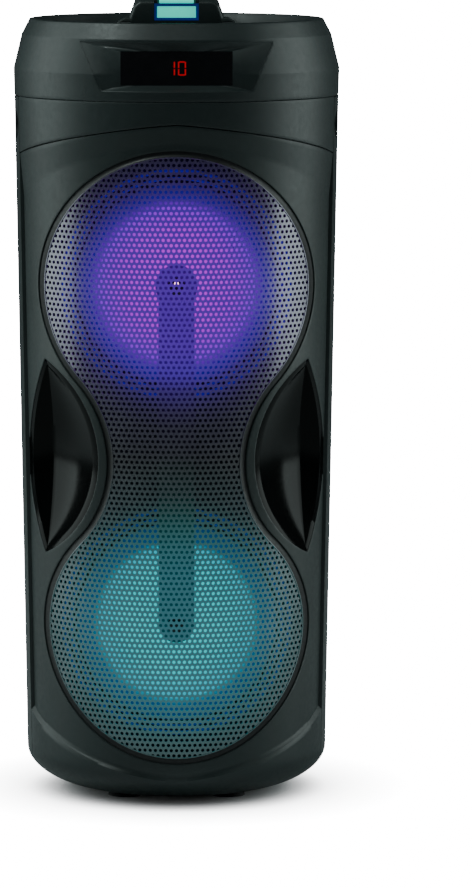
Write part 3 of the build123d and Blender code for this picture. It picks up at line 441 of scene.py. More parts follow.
@dataclass(frozen=True)
class PaintedGlowFront:
    """Black or coated surface with painted glow: rings of emission that stand in for the light of
    the coloured lamps behind the grille falling on it.

    Each painted glow is a centre height, a reach and a colour, all in the surface's
    own space, so it stays put from every side.
    """

    name: str
    colour: Colour
    roughness: float
    painted_glows: tuple[tuple[float, tuple[tuple[float, Colour], ...]], ...]
    strength: float
    metallic: float = 0.0
    grain_mm: float = 0.6
    spread: float = 0.08

    def material(self) -> bpy.types.Material:
        """Make the material.

        Returns:
            The new material.
        """
        sheet = NodeSheet(self.name)
        cloud = sheet.noise(30.0, 3.0)
        sheet.base(cloud, [(CLOUD_LOW, scaled(self.colour, 0.85)), (CLOUD_HIGH, self.colour)])
        fine = sheet.noise(self.grain_mm, 3.0)
        sheet.rough(fine, self.roughness - self.spread, self.roughness + self.spread,
                    CLOUD_LOW, CLOUD_HIGH)
        total = None
        # painted light: each ring of emission stands in for lamp light falling on this surface
        for height, stops in self.painted_glows:
            reach = stops[-1][0]
            share = sheet.span(sheet.distance(height), 0.0, 1.0, 0.0, reach)
            light = sheet.ramp(share, [(d / reach, c) for d, c in stops])
            total = light if total is None else sheet.add(total, light)
        sheet.join(total, sheet.surface.inputs["Emission Color"])
        sheet.set(Emission_Strength=self.strength, Metallic=self.metallic)
        sheet.bump(fine, 0.03, 0.4)
        return sheet.material


# ---------------------------------------------------------------- mesh tools


def rotate_section(turn: Points, radius: Points, height: Points) -> Points:
    """Points of a surface of revolution about Z; turn 0 faces the front.

    Args:
        turn: Angles, positive towards +X.
        radius: Radii, the same shape.
        height: Heights, the same shape.

    Returns:
        An array of points with a last axis of 3.
    """
    return np.stack([radius * np.sin(turn), -radius * np.cos(turn), height], axis=-1)


def round_front(radius: Points, x: Points) -> Points:
    """Y of the front of a circle about Z at an X."""
    return -np.sqrt(np.maximum(radius ** 2 - x ** 2, 1.0))


def grid_faces(columns: int, rows: int, closed: bool = False) -> Faces:
    """Quads of a grid whose index is row * columns + column.

    Args:
        columns: Points along a row.
        rows: Number of rows.
        closed: Join the last column to the first.

    Returns:
        The quads.
    """
    wide = columns if closed else columns - 1
    faces = []
    for j in range(rows - 1):
        for i in range(wide):
            k = (i + 1) % columns
            faces.append([j * columns + i, j * columns + k,
                          (j + 1) * columns + k, (j + 1) * columns + i])
    return faces


def clip_faces(points: Points, faces: Faces, inside: Points) -> tuple[Points, Faces]:
    """Keep the part of a mesh where a signed distance is positive.

    Args:
        points: Vertices.
        faces: Polygons.
        inside: Signed distance at each vertex.

    Returns:
        The clipped vertices and polygons.
    """
    nearest = 0.06
    made: list[Points] = []
    crossing: dict[tuple[int, int], int] = {}
    kept: dict[int, int] = {}
    result: Faces = []

    def corner(index: int) -> int:
        """New index of a kept vertex.

        Args:
            index: Index in the uncut mesh.

        Returns:
            Index in the clipped mesh.
        """
        if index not in kept:
            kept[index] = len(made)
            made.append(points[index])
        return kept[index]

    def cut(a: int, b: int) -> int:
        """New index of the point where the edge a-b crosses the boundary.

        Args:
            a: Index of one end in the uncut mesh.
            b: Index of the other end.

        Returns:
            Index in the clipped mesh.
        """
        key = (min(a, b), max(a, b))
        if key not in crossing:
            share = inside[key[0]] / (inside[key[0]] - inside[key[1]])
            share = min(max(share, nearest), 1 - nearest)
            crossing[key] = len(made)
            made.append(points[key[0]] * (1 - share) + points[key[1]] * share)
        return crossing[key]

    for face in faces:
        signs = [inside[v] > 0 for v in face]
        if all(signs):
            result.append([corner(v) for v in face])
            continue
        if not any(signs):
            continue
        polygon = []
        for step, vertex in enumerate(face):
            following = face[(step + 1) % len(face)]
            if signs[step]:
                polygon.append(corner(vertex))
            if signs[step] != signs[(step + 1) % len(face)]:
                polygon.append(cut(vertex, following))
        if len(polygon) > 2:
            result.append(polygon)
    return np.array(made), result


def vertex_normals(points: Points, faces: Faces) -> Points:
    """Area-weighted normals of a mesh's vertices.

    Args:
        points: Positions of the vertices.
        faces: Polygons as vertex indices.

    Returns:
        One normal for each vertex.
    """
    normals = np.zeros_like(points)
    for face in faces:
        ring = points[face]
        normal = np.cross(ring[1] - ring[0], ring[2] - ring[0])
        if len(face) > 3:
            normal = normal + np.cross(ring[2] - ring[0], ring[3] - ring[0])
        normals[face] += normal
    return normals / np.maximum(np.linalg.norm(normals, axis=1, keepdims=True), 1e-9)


def facing_front(points: Points, faces: Faces) -> Faces:
    """The polygons, turned over if the mesh faces the rear.

    Args:
        points: Positions of the vertices.
        faces: Polygons as vertex indices.

    Returns:
        The polygons, all turned over or left as they are.
    """
    if vertex_normals(points, faces)[:, 1].mean() > 0:
        return [list(reversed(face)) for face in faces]
    return faces


def thicken(points: Points, faces: Faces, depth: float, lip: float = 0.0,
            steps: int = 2) -> tuple[Points, Faces]:
    """Close an open sheet into a shell with rounded lips.

    Args:
        points: Vertices of the outer face.
        faces: Polygons, anticlockwise as seen from outside.
        depth: Thickness, measured inwards.
        lip: Radius of the rounding along every free edge.
        steps: Rings in the rounding.

    Returns:
        The vertices and polygons of the closed shell.
    """
    normals = vertex_normals(points, faces)
    count = len(points)
    seen: dict[tuple[int, int], int] = {}
    for face in faces:
        for a, b in zip(face, face[1:] + face[:1]):
            seen[(a, b)] = seen.get((a, b), 0) + 1
    free = [(a, b) for a, b in seen if (b, a) not in seen]
    outward = np.zeros_like(points)
    for a, b in free:
        edge = points[b] - points[a]
        outward[a] += np.cross(edge, normals[a])
        outward[b] += np.cross(edge, normals[b])
    edge_points = sorted({v for pair in free for v in pair})
    rank = {v: i for i, v in enumerate(edge_points)}
    out = outward[edge_points]
    out /= np.maximum(np.linalg.norm(out, axis=1, keepdims=True), 1e-9)
    base = points[edge_points]
    up = normals[edge_points]
    blocks = [points, points - normals * depth]
    rings = []
    offset = 2 * count
    turns = [math.pi / 2 * (k + 1) / steps for k in range(steps)] if lip > 0 else []
    for turn in turns:
        blocks.append(base + out * lip * math.sin(turn) - up * lip * (1 - math.cos(turn)))
        rings.append(offset)
        offset += len(edge_points)
    if lip > 0:
        blocks.append(base + out * lip - up * depth)
        rings.append(offset)
    made = list(faces)
    made += [[v + count for v in reversed(face)] for face in faces]
    for a, b in free:
        ladder = [(a, b)] + [(r + rank[a], r + rank[b]) for r in rings] + [(a + count, b + count)]
        for (p, q), (s, t) in zip(ladder, ladder[1:]):
            made.append([q, p, s, t])
    return np.concatenate(blocks), made


def make_piece(name: str, points: Points, faces: Faces, finish: bpy.types.Material,
               slot: str, body: Optional[str] = CABINET, sharp: float = 40.0,
               replaces: Iterable[str] = ()) -> bpy.types.Object:
    """Turn a mesh in millimetres into a riding piece.

    Args:
        name: Name of the piece.
        points: Vertices.
        faces: Polygons.
        finish: Its material.
        slot: Name of a material slot; not used.
        body: Body that it rides on, or nothing for a piece between two bodies.
        sharp: Edges sharper than this, in degrees, stay crisp.
        replaces: Frame nodes that it stands for.

    Returns:
        The new object.
    """
    mesh = bpy.data.meshes.new(name)
    mesh.from_pydata([tuple(p) for p in np.asarray(points) * MM], [], faces)
    mesh.validate()
    mesh.shade_smooth()
    mesh.set_sharp_from_angle(angle=math.radians(sharp))
    mesh.materials.append(finish)
    piece = bpy.data.objects.new(name, mesh)
    bpy.context.scene.collection.objects.link(piece)
    if body:
        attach(piece, body)
    nodes = list(replaces)
    if nodes:
        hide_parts(*nodes)
    log.info("piece %s: %d faces on %s", name, len(mesh.polygons), body)
    return piece


def joined(parts: Sequence[tuple[Points, Faces]]) -> tuple[Points, Faces]:
    """Several meshes as one list of vertices and polygons.

    Args:
        parts: Meshes as vertices and polygons.

    Returns:
        Vertices and polygons.
    """
    points, faces, offset = [], [], 0
    for some, polygons in parts:
        points.append(some)
        faces += [[v + offset for v in face] for face in polygons]
        offset += len(some)
    return np.concatenate(points), faces


def box_edges(node: str) -> tuple[Points, Points]:
    """Lowest and highest corner of a frame node, in millimetres."""
    low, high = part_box(node)
    return np.array(low) / MM, np.array(high) / MM


def bevelled(points: Points, faces: Faces, width: float, segments: int = 3,
             angle: float = 25.0) -> tuple[Points, Faces]:
    """A closed mesh with its sharp edges rounded.

    Args:
        points: Vertices.
        faces: Polygons.
        width: Width of the rounding.
        segments: Steps in the rounding.
        angle: Edges sharper than this, in degrees, are rounded.

    Returns:
        The new vertices and polygons.
    """
    work = bmesh.new()
    verts = [work.verts.new(p) for p in points]
    for face in faces:
        work.faces.new([verts[v] for v in face])
    bmesh.ops.recalc_face_normals(work, faces=work.faces)
    edges = [e for e in work.edges if e.is_manifold and e.calc_face_angle(0) > math.radians(angle)]
    bmesh.ops.bevel(work, geom=edges, offset=width, segments=segments, profile=0.5,
                    affect="EDGES", clamp_overlap=True)
    work.verts.ensure_lookup_table()
    made = np.array([tuple(v.co) for v in work.verts])
    polygons = [[v.index for v in f.verts] for f in work.faces]
    work.free()
    return made, polygons


def loft(rings: Sequence[Points], caps: bool = True) -> tuple[Points, Faces]:
    """Skin closed rings that have the same number of points.

    Args:
        rings: Rings in order.
        caps: Close both ends.

    Returns:
        The vertices and polygons.
    """
    size = len(rings[0])
    faces = grid_faces(size, len(rings), closed=True)
    if caps:
        faces.append(list(reversed(range(size))))
        faces.append([(len(rings) - 1) * size + i for i in range(size)])
    return np.concatenate(rings), faces


def turned(section: Sequence[tuple[float, float]], centre: tuple[float, float, float],
           axis: str = "Z", sides: int = 96,
           flute: Optional[Callable] = None) -> tuple[Points, Faces]:
    """Revolve a section of (radius, distance along the axis) points.

    Args:
        section: Section, which may start or end on the axis.
        centre: Foot of the axis in millimetres.
        axis: Z, or F for an axis that points to the front.
        sides: Steps round the axis.
        flute: Optional function of angle and section index giving a radius factor.

    Returns:
        The vertices and polygons.
    """
    turn = np.linspace(0, 2 * math.pi, sides, endpoint=False)
    points: list[tuple[float, float, float]] = []
    rows: list[list[int]] = []
    for index, (radius, along) in enumerate(section):
        if radius < 1e-6:
            rows.append([len(points)] * sides)
            points.append((0.0, 0.0, along))
            continue
        rows.append(list(range(len(points), len(points) + sides)))
        scale = np.ones(sides) if flute is None else flute(turn, index)
        points += [(radius * s * math.cos(t), radius * s * math.sin(t), along)
                   for t, s in zip(turn, scale)]
    faces: Faces = []
    for low, high in zip(rows, rows[1:]):
        for i in range(sides):
            k = (i + 1) % sides
            ring = [low[i], low[k], high[k], high[i]]
            face = [v for n, v in enumerate(ring) if v not in ring[:n]]
            if len(face) > 2:
                faces.append(face)
    made = np.array(points)
    if axis == "F":
        made = np.stack([made[:, 0], -made[:, 2], made[:, 1]], axis=1)
    return made + np.array(centre), faces


def arc_points(centre: tuple[float, float], radius: float, start: float, end: float,
               steps: int) -> list[tuple[float, float]]:
    """Points along an arc, in degrees, both ends included."""
    angles = np.radians(np.linspace(start, end, steps + 1))
    return [(centre[0] + radius * math.cos(a), centre[1] + radius * math.sin(a)) for a in angles]


# ---------------------------------------------------------------- shape of the tower


@dataclass(frozen=True)
class Tower:
    """Taper, seams and openings of the body, read from the frame."""

    foot: float
    seam: float
    seam_radius: float
    shoulder_radius: float
    rim: float
    upper_z: float
    lower_z: float
    upper_circle: float
    lower_circle: float
    taper: float = 9.0
    rounding: float = 31.0
    sweep: float = 62.0
    split: float = 31.0
    waist_half: float = 48.0
    border: float = 4.5
    dish: float = 2.5

    @classmethod
    def from_frame(cls) -> "Tower":
        """Read the tower's main sizes from the frame."""
        shell_low, shell_high = box_edges("front_shell")
        rear_high = box_edges("rear_shell")[1]
        cap_high = box_edges("top_cap")[1]
        grille_low, grille_high = box_edges("grille")
        ring_low, ring_high = box_edges("light_ring_lower")
        circle = (grille_high[0] - grille_low[0]) / 2
        lower = (ring_low[2] + ring_high[2]) / 2
        return cls(
            foot=shell_low[2], seam=shell_high[2], seam_radius=rear_high[0],
            shoulder_radius=cap_high[0], rim=cap_high[2],
            upper_z=grille_high[2] - circle, lower_z=lower,
            upper_circle=circle, lower_circle=lower - grille_low[2],
        )

    def radius(self, height: Points) -> Points:
        """Outer radius at a height."""
        share = (height - self.foot) / (self.seam - self.foot)
        return self.seam_radius - self.taper * (1 - share)

    def front_y(self, x: Points, z: Points, depth: float) -> Points:
        """Y of the round front at a place, sunk by a depth."""
        return round_front(self.radius(z) - depth, x)

    def section(self, travel: Points) -> tuple[Points, Points, Points, Points]:
        """Point and outward normal of the body's profile.

        Args:
            travel: Height above the rounding; below it, height less the way
                along the rounding and the flat base.

        Returns:
            Radius, height, and the normal's radial and upward parts.
        """
        top = self.foot + self.rounding
        lean = self.taper / (self.seam - self.foot)
        core = self.radius(top) - self.sweep
        turn = np.clip((top - travel) / self.rounding, 0, math.pi / 2)
        flat = np.maximum(top - travel - self.rounding * math.pi / 2, 0)
        above = travel >= top
        radius = np.where(above, self.radius(travel), core + self.sweep * np.cos(turn) - flat)
        height = np.where(above, travel, top - self.rounding * np.sin(turn))
        steep, level = np.cos(turn) / self.sweep, np.sin(turn) / self.rounding
        size = np.hypot(steep, level)
        out = np.where(above, 1.0, steep / size)
        rise = np.where(above, -lean, -level / size)
        return radius, height, out, rise

    def travel_at(self, height: Points) -> Points:
        """Profile parameter of a height.

        Args:
            height: Heights above the floor.

        Returns:
            The parameter at each height.
        """
        top = self.foot + self.rounding
        low = top - self.rounding * np.arcsin(np.clip((top - height) / self.rounding, 0, 1))
        return np.where(height >= top, height, low)

    def waist(self) -> tuple[float, float, float]:
        """Centre X, centre Z and radius of the grille's waist arc.

        Returns:
            Centre X, centre Z and radius.
        """
        span = self.upper_z - self.lower_z
        middle = (self.upper_z + self.lower_z) / 2
        centre, radius = middle, self.upper_circle
        for _ in range(60):
            gap = (centre - self.upper_z) ** 2 + self.waist_half ** 2 - self.upper_circle ** 2
            radius = gap / (2 * (self.upper_circle - self.waist_half))
            squares = self.upper_circle ** 2 - self.lower_circle ** 2
            squares += 2 * radius * (self.upper_circle - self.lower_circle)
            centre = middle - squares / (2 * span)
        return self.waist_half + radius, centre, radius

    def grille_distance(self, x: Points, z: Points) -> Points:
        """Signed distance to the figure-eight outline, positive outside it.

        Args:
            x: X of each point.
            z: Height of each point.

        Returns:
            The distance at each point.
        """
        waist_x, waist_z, waist_radius = self.waist()
        circles = np.minimum(np.hypot(x, z - self.upper_z) - self.upper_circle,
                             np.hypot(x, z - self.lower_z) - self.lower_circle)
        away = np.hypot(np.abs(x) - waist_x, z - waist_z)
        slope_top = (self.upper_z - waist_z) / waist_x
        slope_low = (waist_z - self.lower_z) / waist_x
        back = waist_x - np.abs(x)
        between = (z - waist_z < back * slope_top) & (waist_z - z < back * slope_low) & (back > 0)
        return np.where(between, waist_radius - away, circles)


@dataclass
class Scoop:
    """Valley-shaped grip pocket in the side of the front shell."""

    tower: Tower
    half_height: float = 70.0
    tip_x: float = 98.6
    outer_x: float = 109.8
    inner_x: float = 62.2
    crease_x: float = 93.6
    crease_y: float = -47.0
    band: float = 3.2
    band_depth: float = 1.4
    band_clear: float = 0.2
    centre: float = field(init=False)

    def __post_init__(self) -> None:
        """Place the pocket by the frame's own scoop."""
        low, high = box_edges("side_scoops")
        self.centre = (low[2] + high[2]) / 2

    def arc(self, bulge: float) -> tuple[float, float, float]:
        """Centre X, radius and signed sagitta of the edge arc that bulges to an X.

        Args:
            bulge: X of the edge at the middle.

        Returns:
            Centre X, radius and sagitta.
        """
        sagitta = self.tip_x - bulge
        radius = (self.half_height ** 2 + sagitta ** 2) / (2 * abs(sagitta))
        return self.tip_x + math.copysign(radius - abs(sagitta), sagitta), radius, sagitta

    def edge(self, bulge: float, rise: Points, grow: float = 0.0) -> Points:
        """X of an edge at a height above the pocket's middle.

        Args:
            bulge: X of the edge at the middle.
            rise: Heights above the middle.
            grow: Distance by which the outline is grown.

        Returns:
            The edge's X at each height.
        """
        core, radius, sagitta = self.arc(bulge)
        across = np.sqrt(np.maximum((radius + grow) ** 2 - rise ** 2, 0.0))
        return core - math.copysign(1.0, sagitta) * across

    def distance(self, x: Points, z: Points) -> Points:
        """Signed distance to the outline, positive outside, for both sides at once.

        Args:
            x: X of each point.
            z: Height of each point.

        Returns:
            The distance at each point.
        """
        arcs = [self.arc(bulge)[:2] for bulge in (self.inner_x, self.outer_x)]
        return np.maximum(*(np.hypot(np.abs(x) - core, z - self.centre) - radius
                            for core, radius in arcs))


@dataclass
class FrontShell:
    """Front moulding: dished fascia below the arch and plain collar above it."""

    tower: Tower
    scoop: Scoop
    plastic: bpy.types.Material
    dark: bpy.types.Material
    pitch: float = 1.9
    gap: float = 0.95
    lip: float = 0.6
    wall: float = 2.6
    band_width: float = 3.2
    arch_drop: float = 16.3
    arch_fall: float = 18.4
    crest_drop: float = 30.8
    crest_fall: float = 29.0
    foot_rise: float = 19.8
    foot_climb: float = 29.0
    base_reach: float = 12.0
    arch_relief: float = 0.3
    groove_half: float = 3.0

    def arch(self, turn: Points) -> Points:
        """Height of the groove arch at an angle."""
        return self.tower.seam - self.arch_drop - self.arch_fall * np.abs(turn) ** 1.3

    def dish_top(self, turn: Points) -> Points:
        """Height of the dish's upper crease at an angle."""
        return self.tower.seam - self.crest_drop - self.crest_fall * np.abs(turn) ** 1.6

    def dish_foot(self, turn: Points) -> Points:
        """Height of the dish's lower crease at an angle."""
        return self.tower.foot + self.foot_rise + self.foot_climb * np.abs(turn) ** 1.5

    def rows(self, turn: Points) -> tuple[Points, Points]:
        """Profile parameter and inward relief of every row at each angle.

        Args:
            turn: Angles round the tower from the front.

        Returns:
            Parameters and reliefs, a row for each step up.
        """
        tower = self.tower
        flat = tower.foot + tower.rounding - tower.rounding * math.pi / 2 - self.base_reach
        foot = tower.travel_at(self.dish_foot(turn))
        band = foot + self.band_width
        crest = self.dish_top(turn)
        top = self.arch(turn) - self.gap
        stops = [(np.full_like(turn, flat), 0.0), (foot, 0.0), (band, tower.dish),
                 (crest, tower.dish), (top, self.arch_relief)]
        counts = [26, 2, int((tower.seam - 60) / self.pitch), 8]
        heights, reliefs = [], []
        for (start, low), (end, high), count in zip(stops, stops[1:], counts):
            for step in range(count):
                share = step / count
                heights.append(start + (end - start) * share)
                reliefs.append(np.full_like(turn, low + (high - low) * share))
        heights.append(stops[-1][0])
        reliefs.append(np.full_like(turn, stops[-1][1]))
        return np.array(heights), np.array(reliefs)

    def patch(self, heights: Points, reliefs: Points, turn: Points) -> tuple[Points, Faces]:
        """Surface through rows of profile parameters sunk by reliefs.

        Args:
            heights: Profile parameter of each row and angle.
            reliefs: Depth under the bare profile.
            turn: Angles round the tower from the front.

        Returns:
            Vertices and polygons.
        """
        radius, height, out, rise = self.tower.section(heights)
        angle = np.broadcast_to(turn, heights.shape)
        points = rotate_section(angle, radius - out * reliefs, height - rise * reliefs)
        return points.reshape(-1, 3), grid_faces(len(turn), len(heights))

    def trimmed(self, points: Points, faces: Faces) -> tuple[Points, Faces]:
        """Cut the split line, the grille opening and both pockets.

        Args:
            points: Positions of the vertices.
            faces: Polygons as vertex indices.

        Returns:
            The clipped vertices and polygons.
        """
        x, y, z = points.T
        inside = self.tower.grille_distance(x, z) - self.tower.border - self.lip
        inside = np.minimum(inside, self.scoop.distance(x, z) - self.scoop.band
                            - self.scoop.band_clear)
        inside = np.minimum(inside, -y - self.tower.split - self.gap)
        return clip_faces(points, faces, inside)

    def build(self) -> None:
        """Build the fascia, the collar and the floor of the grooves, whose black trim is painted
        shade of the deep gap.
        """
        reach = math.acos((self.tower.split - 4) / self.tower.seam_radius)
        columns = int(2 * reach * self.tower.seam_radius / self.pitch)
        turn = np.linspace(-reach, reach, columns)
        start, end = self.arch(turn) + self.gap, np.full_like(turn, self.tower.seam)
        heights = np.array([start + (end - start) * s for s in np.linspace(0, 1, 16)])
        for name, rows, stands_for in (
            ("front_fascia", self.rows(turn), ["front_shell"]),
            ("front_collar", (heights, np.zeros_like(heights)), []),
        ):
            points, faces = self.trimmed(*self.patch(*rows, turn))
            points, faces = thicken(points, faces, self.wall, self.lip)
            make_piece(name, points, faces, self.plastic, "shell", replaces=stands_for)

        # painted shade: a real floor closes the groove, and its black trim finish stands in for the
        # shadow in the deep parting gap
        centre = self.arch(turn)
        heights = np.array([centre - self.groove_half, centre, centre + self.groove_half])
        points, faces = self.patch(heights, np.full_like(heights, self.wall + 0.2), turn)
        points, faces = thicken(points, faces, 1.0)
        make_piece("arch_groove_floor", points, faces, self.dark, "trim_black")


@dataclass
class ScoopLiners:
    """The two gloss pockets that line the scoops."""

    tower: Tower
    scoop: Scoop
    gloss: bpy.types.Material
    rows: int = 97
    across: int = 16
    wall: float = 1.2
    edge_sink: float = 0.5
    belly: float = 2.5

    def surface_y(self, x: Points, z: Points, depth: float) -> Points:
        """Depth position of the dished fascia, sunk by a further depth."""
        return self.tower.front_y(x, z, self.tower.dish + depth)

    def one(self, side: Side) -> tuple[Points, Faces]:
        """Outer face of one pocket: chamfered band, then both valley walls.

        Args:
            side: Which of the two pockets.

        Returns:
            Vertices and polygons.
        """
        scoop = self.scoop
        share = np.linspace(-1, 1, self.rows)
        rise = scoop.half_height * np.sin(share * math.pi / 2)
        grown = rise * (1 + (scoop.band + 1.5) / scoop.half_height)
        z_in = scoop.centre + rise
        z_out = scoop.centre + grown
        inner = scoop.edge(scoop.inner_x, rise)
        outer = scoop.edge(scoop.outer_x, rise)
        inner_far = np.minimum(scoop.edge(scoop.inner_x, grown, scoop.band), scoop.tip_x)
        outer_far = np.maximum(scoop.edge(scoop.outer_x, grown, scoop.band), scoop.tip_x)
        deep = np.maximum(1 - (rise / scoop.half_height) ** 2, 0.0) ** 0.85
        crease_x = scoop.tip_x + (scoop.crease_x - scoop.tip_x) * deep
        mouth_y = self.surface_y(crease_x, z_in, scoop.band_depth)
        crease_y = mouth_y + (scoop.crease_y - mouth_y) * deep
        inner_y = self.surface_y(inner, z_in, scoop.band_depth)
        outer_y = self.surface_y(outer, z_in, scoop.band_depth)
        columns = [
            (inner_far, self.surface_y(inner_far, z_out, self.edge_sink), z_out),
            (inner, inner_y, z_in),
        ]
        for step in range(1, self.across + 1):
            way = step / self.across
            sag = self.belly * math.sin(math.pi * way) * deep
            columns.append((inner + (crease_x - inner) * way - sag * 0.4,
                            inner_y + (crease_y - inner_y) * way + sag, z_in))
        for step in range(1, self.across // 2 + 1):
            way = step / (self.across // 2)
            columns.append((crease_x + (outer - crease_x) * way,
                            crease_y + (outer_y - crease_y) * way, z_in))
        columns.append((outer_far, self.surface_y(outer_far, z_out, self.edge_sink), z_out))
        grid = np.array([np.stack([side.value * x, y, z], axis=1) for x, y, z in columns])
        return grid.transpose(1, 0, 2).reshape(-1, 3), grid_faces(len(columns), self.rows)

    def build(self) -> None:
        """Build both pockets."""
        for side in Side:
            points, faces = self.one(side)
            points, faces = thicken(points, facing_front(points, faces), self.wall)
            replaces = ["side_scoops"] if side is Side.LEFT else []
            make_piece(f"scoop_{side.name.lower()}", points, faces, self.gloss, "scoop",
                       sharp=24.0, replaces=replaces)


@dataclass
class Grille:
    """Perforated steel sheet and the black bead round it."""

    tower: Tower
    coat: bpy.types.Material
    dark: bpy.types.Material
    pitch: float = 4.0
    hole: float = 1.36
    flat_radius: float = 150.0
    sheet: float = 0.9
    bead_wall: float = 0.8
    overhang: float = 0.6
    margin: float = 4.0
    recess: float = field(init=False)

    def __post_init__(self) -> None:
        """Read how far the sheet lies under the body's outer face."""
        front = self.tower.radius(self.tower.upper_z + self.tower.upper_circle - 1)
        self.recess = float(front + box_edges("grille")[0][1])
        log.info("grille recess %.2f mm", self.recess)

    def place(self, flat: Points) -> Points:
        """Bend flat positions onto the body.

        Args:
            flat: Positions along and up the sheet.

        Returns:
            Points in space.
        """
        x = self.flat_radius * np.sin(flat[:, 0] / self.flat_radius)
        return np.stack([x, self.tower.front_y(x, flat[:, 1], self.recess), flat[:, 1]], axis=1)

    def pattern(self) -> tuple[Points, Faces]:
        """Staggered cells, each with an eight-sided hole, in flat positions.

        Returns:
            Flat vertices and polygons.
        """
        tower = self.tower
        half = self.flat_radius * math.asin(min(0.999, (tower.upper_circle + 3) / self.flat_radius))
        bottom = tower.lower_z - tower.lower_circle - self.margin
        rows = int((tower.upper_z + tower.upper_circle + self.margin - bottom) / self.pitch) + 1
        columns = int(2 * half / self.pitch) + 2
        points: list[tuple[float, float]] = []
        known: dict[tuple[int, int], int] = {}
        faces: Faces = []
        ring = [(self.hole * math.cos(a), self.hole * math.sin(a))
                for a in np.arange(8) * math.pi / 4]

        def corner(i: int, j: int) -> int:
            """Index of a shared cell corner, in half pitches along and rows up.

            Args:
                i: Half pitches from the left.
                j: Rows from the bottom.

            Returns:
                Index of the vertex.
            """
            if (i, j) not in known:
                known[(i, j)] = len(points)
                points.append(((i - columns) * self.pitch / 2, bottom + j * self.pitch))
            return known[(i, j)]

        for j in range(rows):
            for i in range(columns):
                left = 2 * i + (j % 2)
                middle = ((left + 1 - columns) * self.pitch / 2, bottom + (j + 0.5) * self.pitch)
                x = self.flat_radius * math.sin(middle[0] / self.flat_radius)
                if tower.grille_distance(np.array([x]), np.array([middle[1]]))[0] > 3.2:
                    continue
                south_west, south, south_east = (corner(left + k, j) for k in range(3))
                north_west, north, north_east = (corner(left + k, j + 1) for k in range(3))
                first = len(points)
                points.extend((middle[0] + a, middle[1] + b) for a, b in ring)
                east, ne, n, nw, west, sw, s, se = range(first, first + 8)
                faces += [
                    [south_east, north_east, ne, east, se],
                    [north_east, north, n, ne],
                    [north, north_west, nw, n],
                    [north_west, south_west, sw, west, nw],
                    [south_west, south, s, sw],
                    [south, south_east, se, s],
                ]
        return np.array(points), faces

    def outline(self, grow: float, steps: int = 60) -> Points:
        """Points round the figure eight, grown by a distance.

        Args:
            grow: Distance outside the outline.
            steps: Points on each of the four arcs.

        Returns:
            X and Z of each point, anticlockwise.
        """
        tower = self.tower
        waist_x, waist_z, waist_radius = tower.waist()
        up = math.atan2(tower.upper_z - waist_z, waist_x)
        low = math.atan2(waist_z - tower.lower_z, waist_x)
        neck = waist_radius - grow
        pieces = [
            ((0, tower.upper_z), tower.upper_circle + grow, -up, math.pi + up),
            ((-waist_x, waist_z), neck, up, -low),
            ((0, tower.lower_z), tower.lower_circle + grow, math.pi - low, 2 * math.pi + low),
            ((waist_x, waist_z), neck, math.pi + low, math.pi - up),
        ]
        path = []
        for (x, z), radius, start, end in pieces:
            for angle in np.linspace(start, end, steps, endpoint=False):
                path.append((x + radius * math.cos(angle), z + radius * math.sin(angle)))
        return np.array(path)

    def bead(self) -> tuple[Points, Faces]:
        """Black moulding in the gap: a shallow groove with a raised inner bead.

        Returns:
            Vertices and polygons.
        """
        tower = self.tower
        deep = self.recess + 0.9
        section = [(tower.border + 0.5, deep), (3.2, deep), (1.6, deep - 0.2),
                   (0.9, self.recess + 0.1), (0.5, self.recess - 0.35), (0.2, self.recess - 0.42)]
        return self.ribbon(section)

    def rim(self) -> tuple[Points, Faces]:
        """Bare rolled edge of the sheet inside the bead.

        Returns:
            Vertices and polygons.
        """
        top = self.recess
        return self.ribbon([(0.25, top - 0.1), (0.2, top - 0.4), (-0.1, top - 0.5),
                            (-0.45, top - 0.4), (-0.6, top - 0.05)])

    def ribbon(self, section: Sequence[tuple[float, float]]) -> tuple[Points, Faces]:
        """Strip that follows the figure eight.

        Args:
            section: Distance outside the outline and depth under the body's face.

        Returns:
            The vertices and polygons.
        """
        rings = []
        for grow, depth in section:
            x, z = self.outline(grow).T
            rings.append(np.stack([x, self.tower.front_y(x, z, depth), z], axis=1))
        return loft(rings, caps=False)

    def build(self) -> None:
        """Build the sheet and its bead."""
        flat, faces = self.pattern()
        placed = self.place(flat)
        inside = self.overhang - self.tower.grille_distance(placed[:, 0], placed[:, 2])
        points, faces = clip_faces(placed, faces, inside)
        points, faces = thicken(points, faces, self.sheet)
        make_piece("grille_sheet", points, faces, self.coat, "grille_metal", sharp=50.0,
                   replaces=["grille"])
        for name, (points, faces), finish, slot in (
            ("grille_bead", self.bead(), self.dark, "trim_black"),
            ("grille_rim", self.rim(), self.coat, "grille_metal"),
        ):
            points, faces = thicken(points, facing_front(points, faces), self.bead_wall)
            stands_for = ["grille_frame"] if name == "grille_bead" else []
            make_piece(name, points, faces, finish, slot, replaces=stands_for)


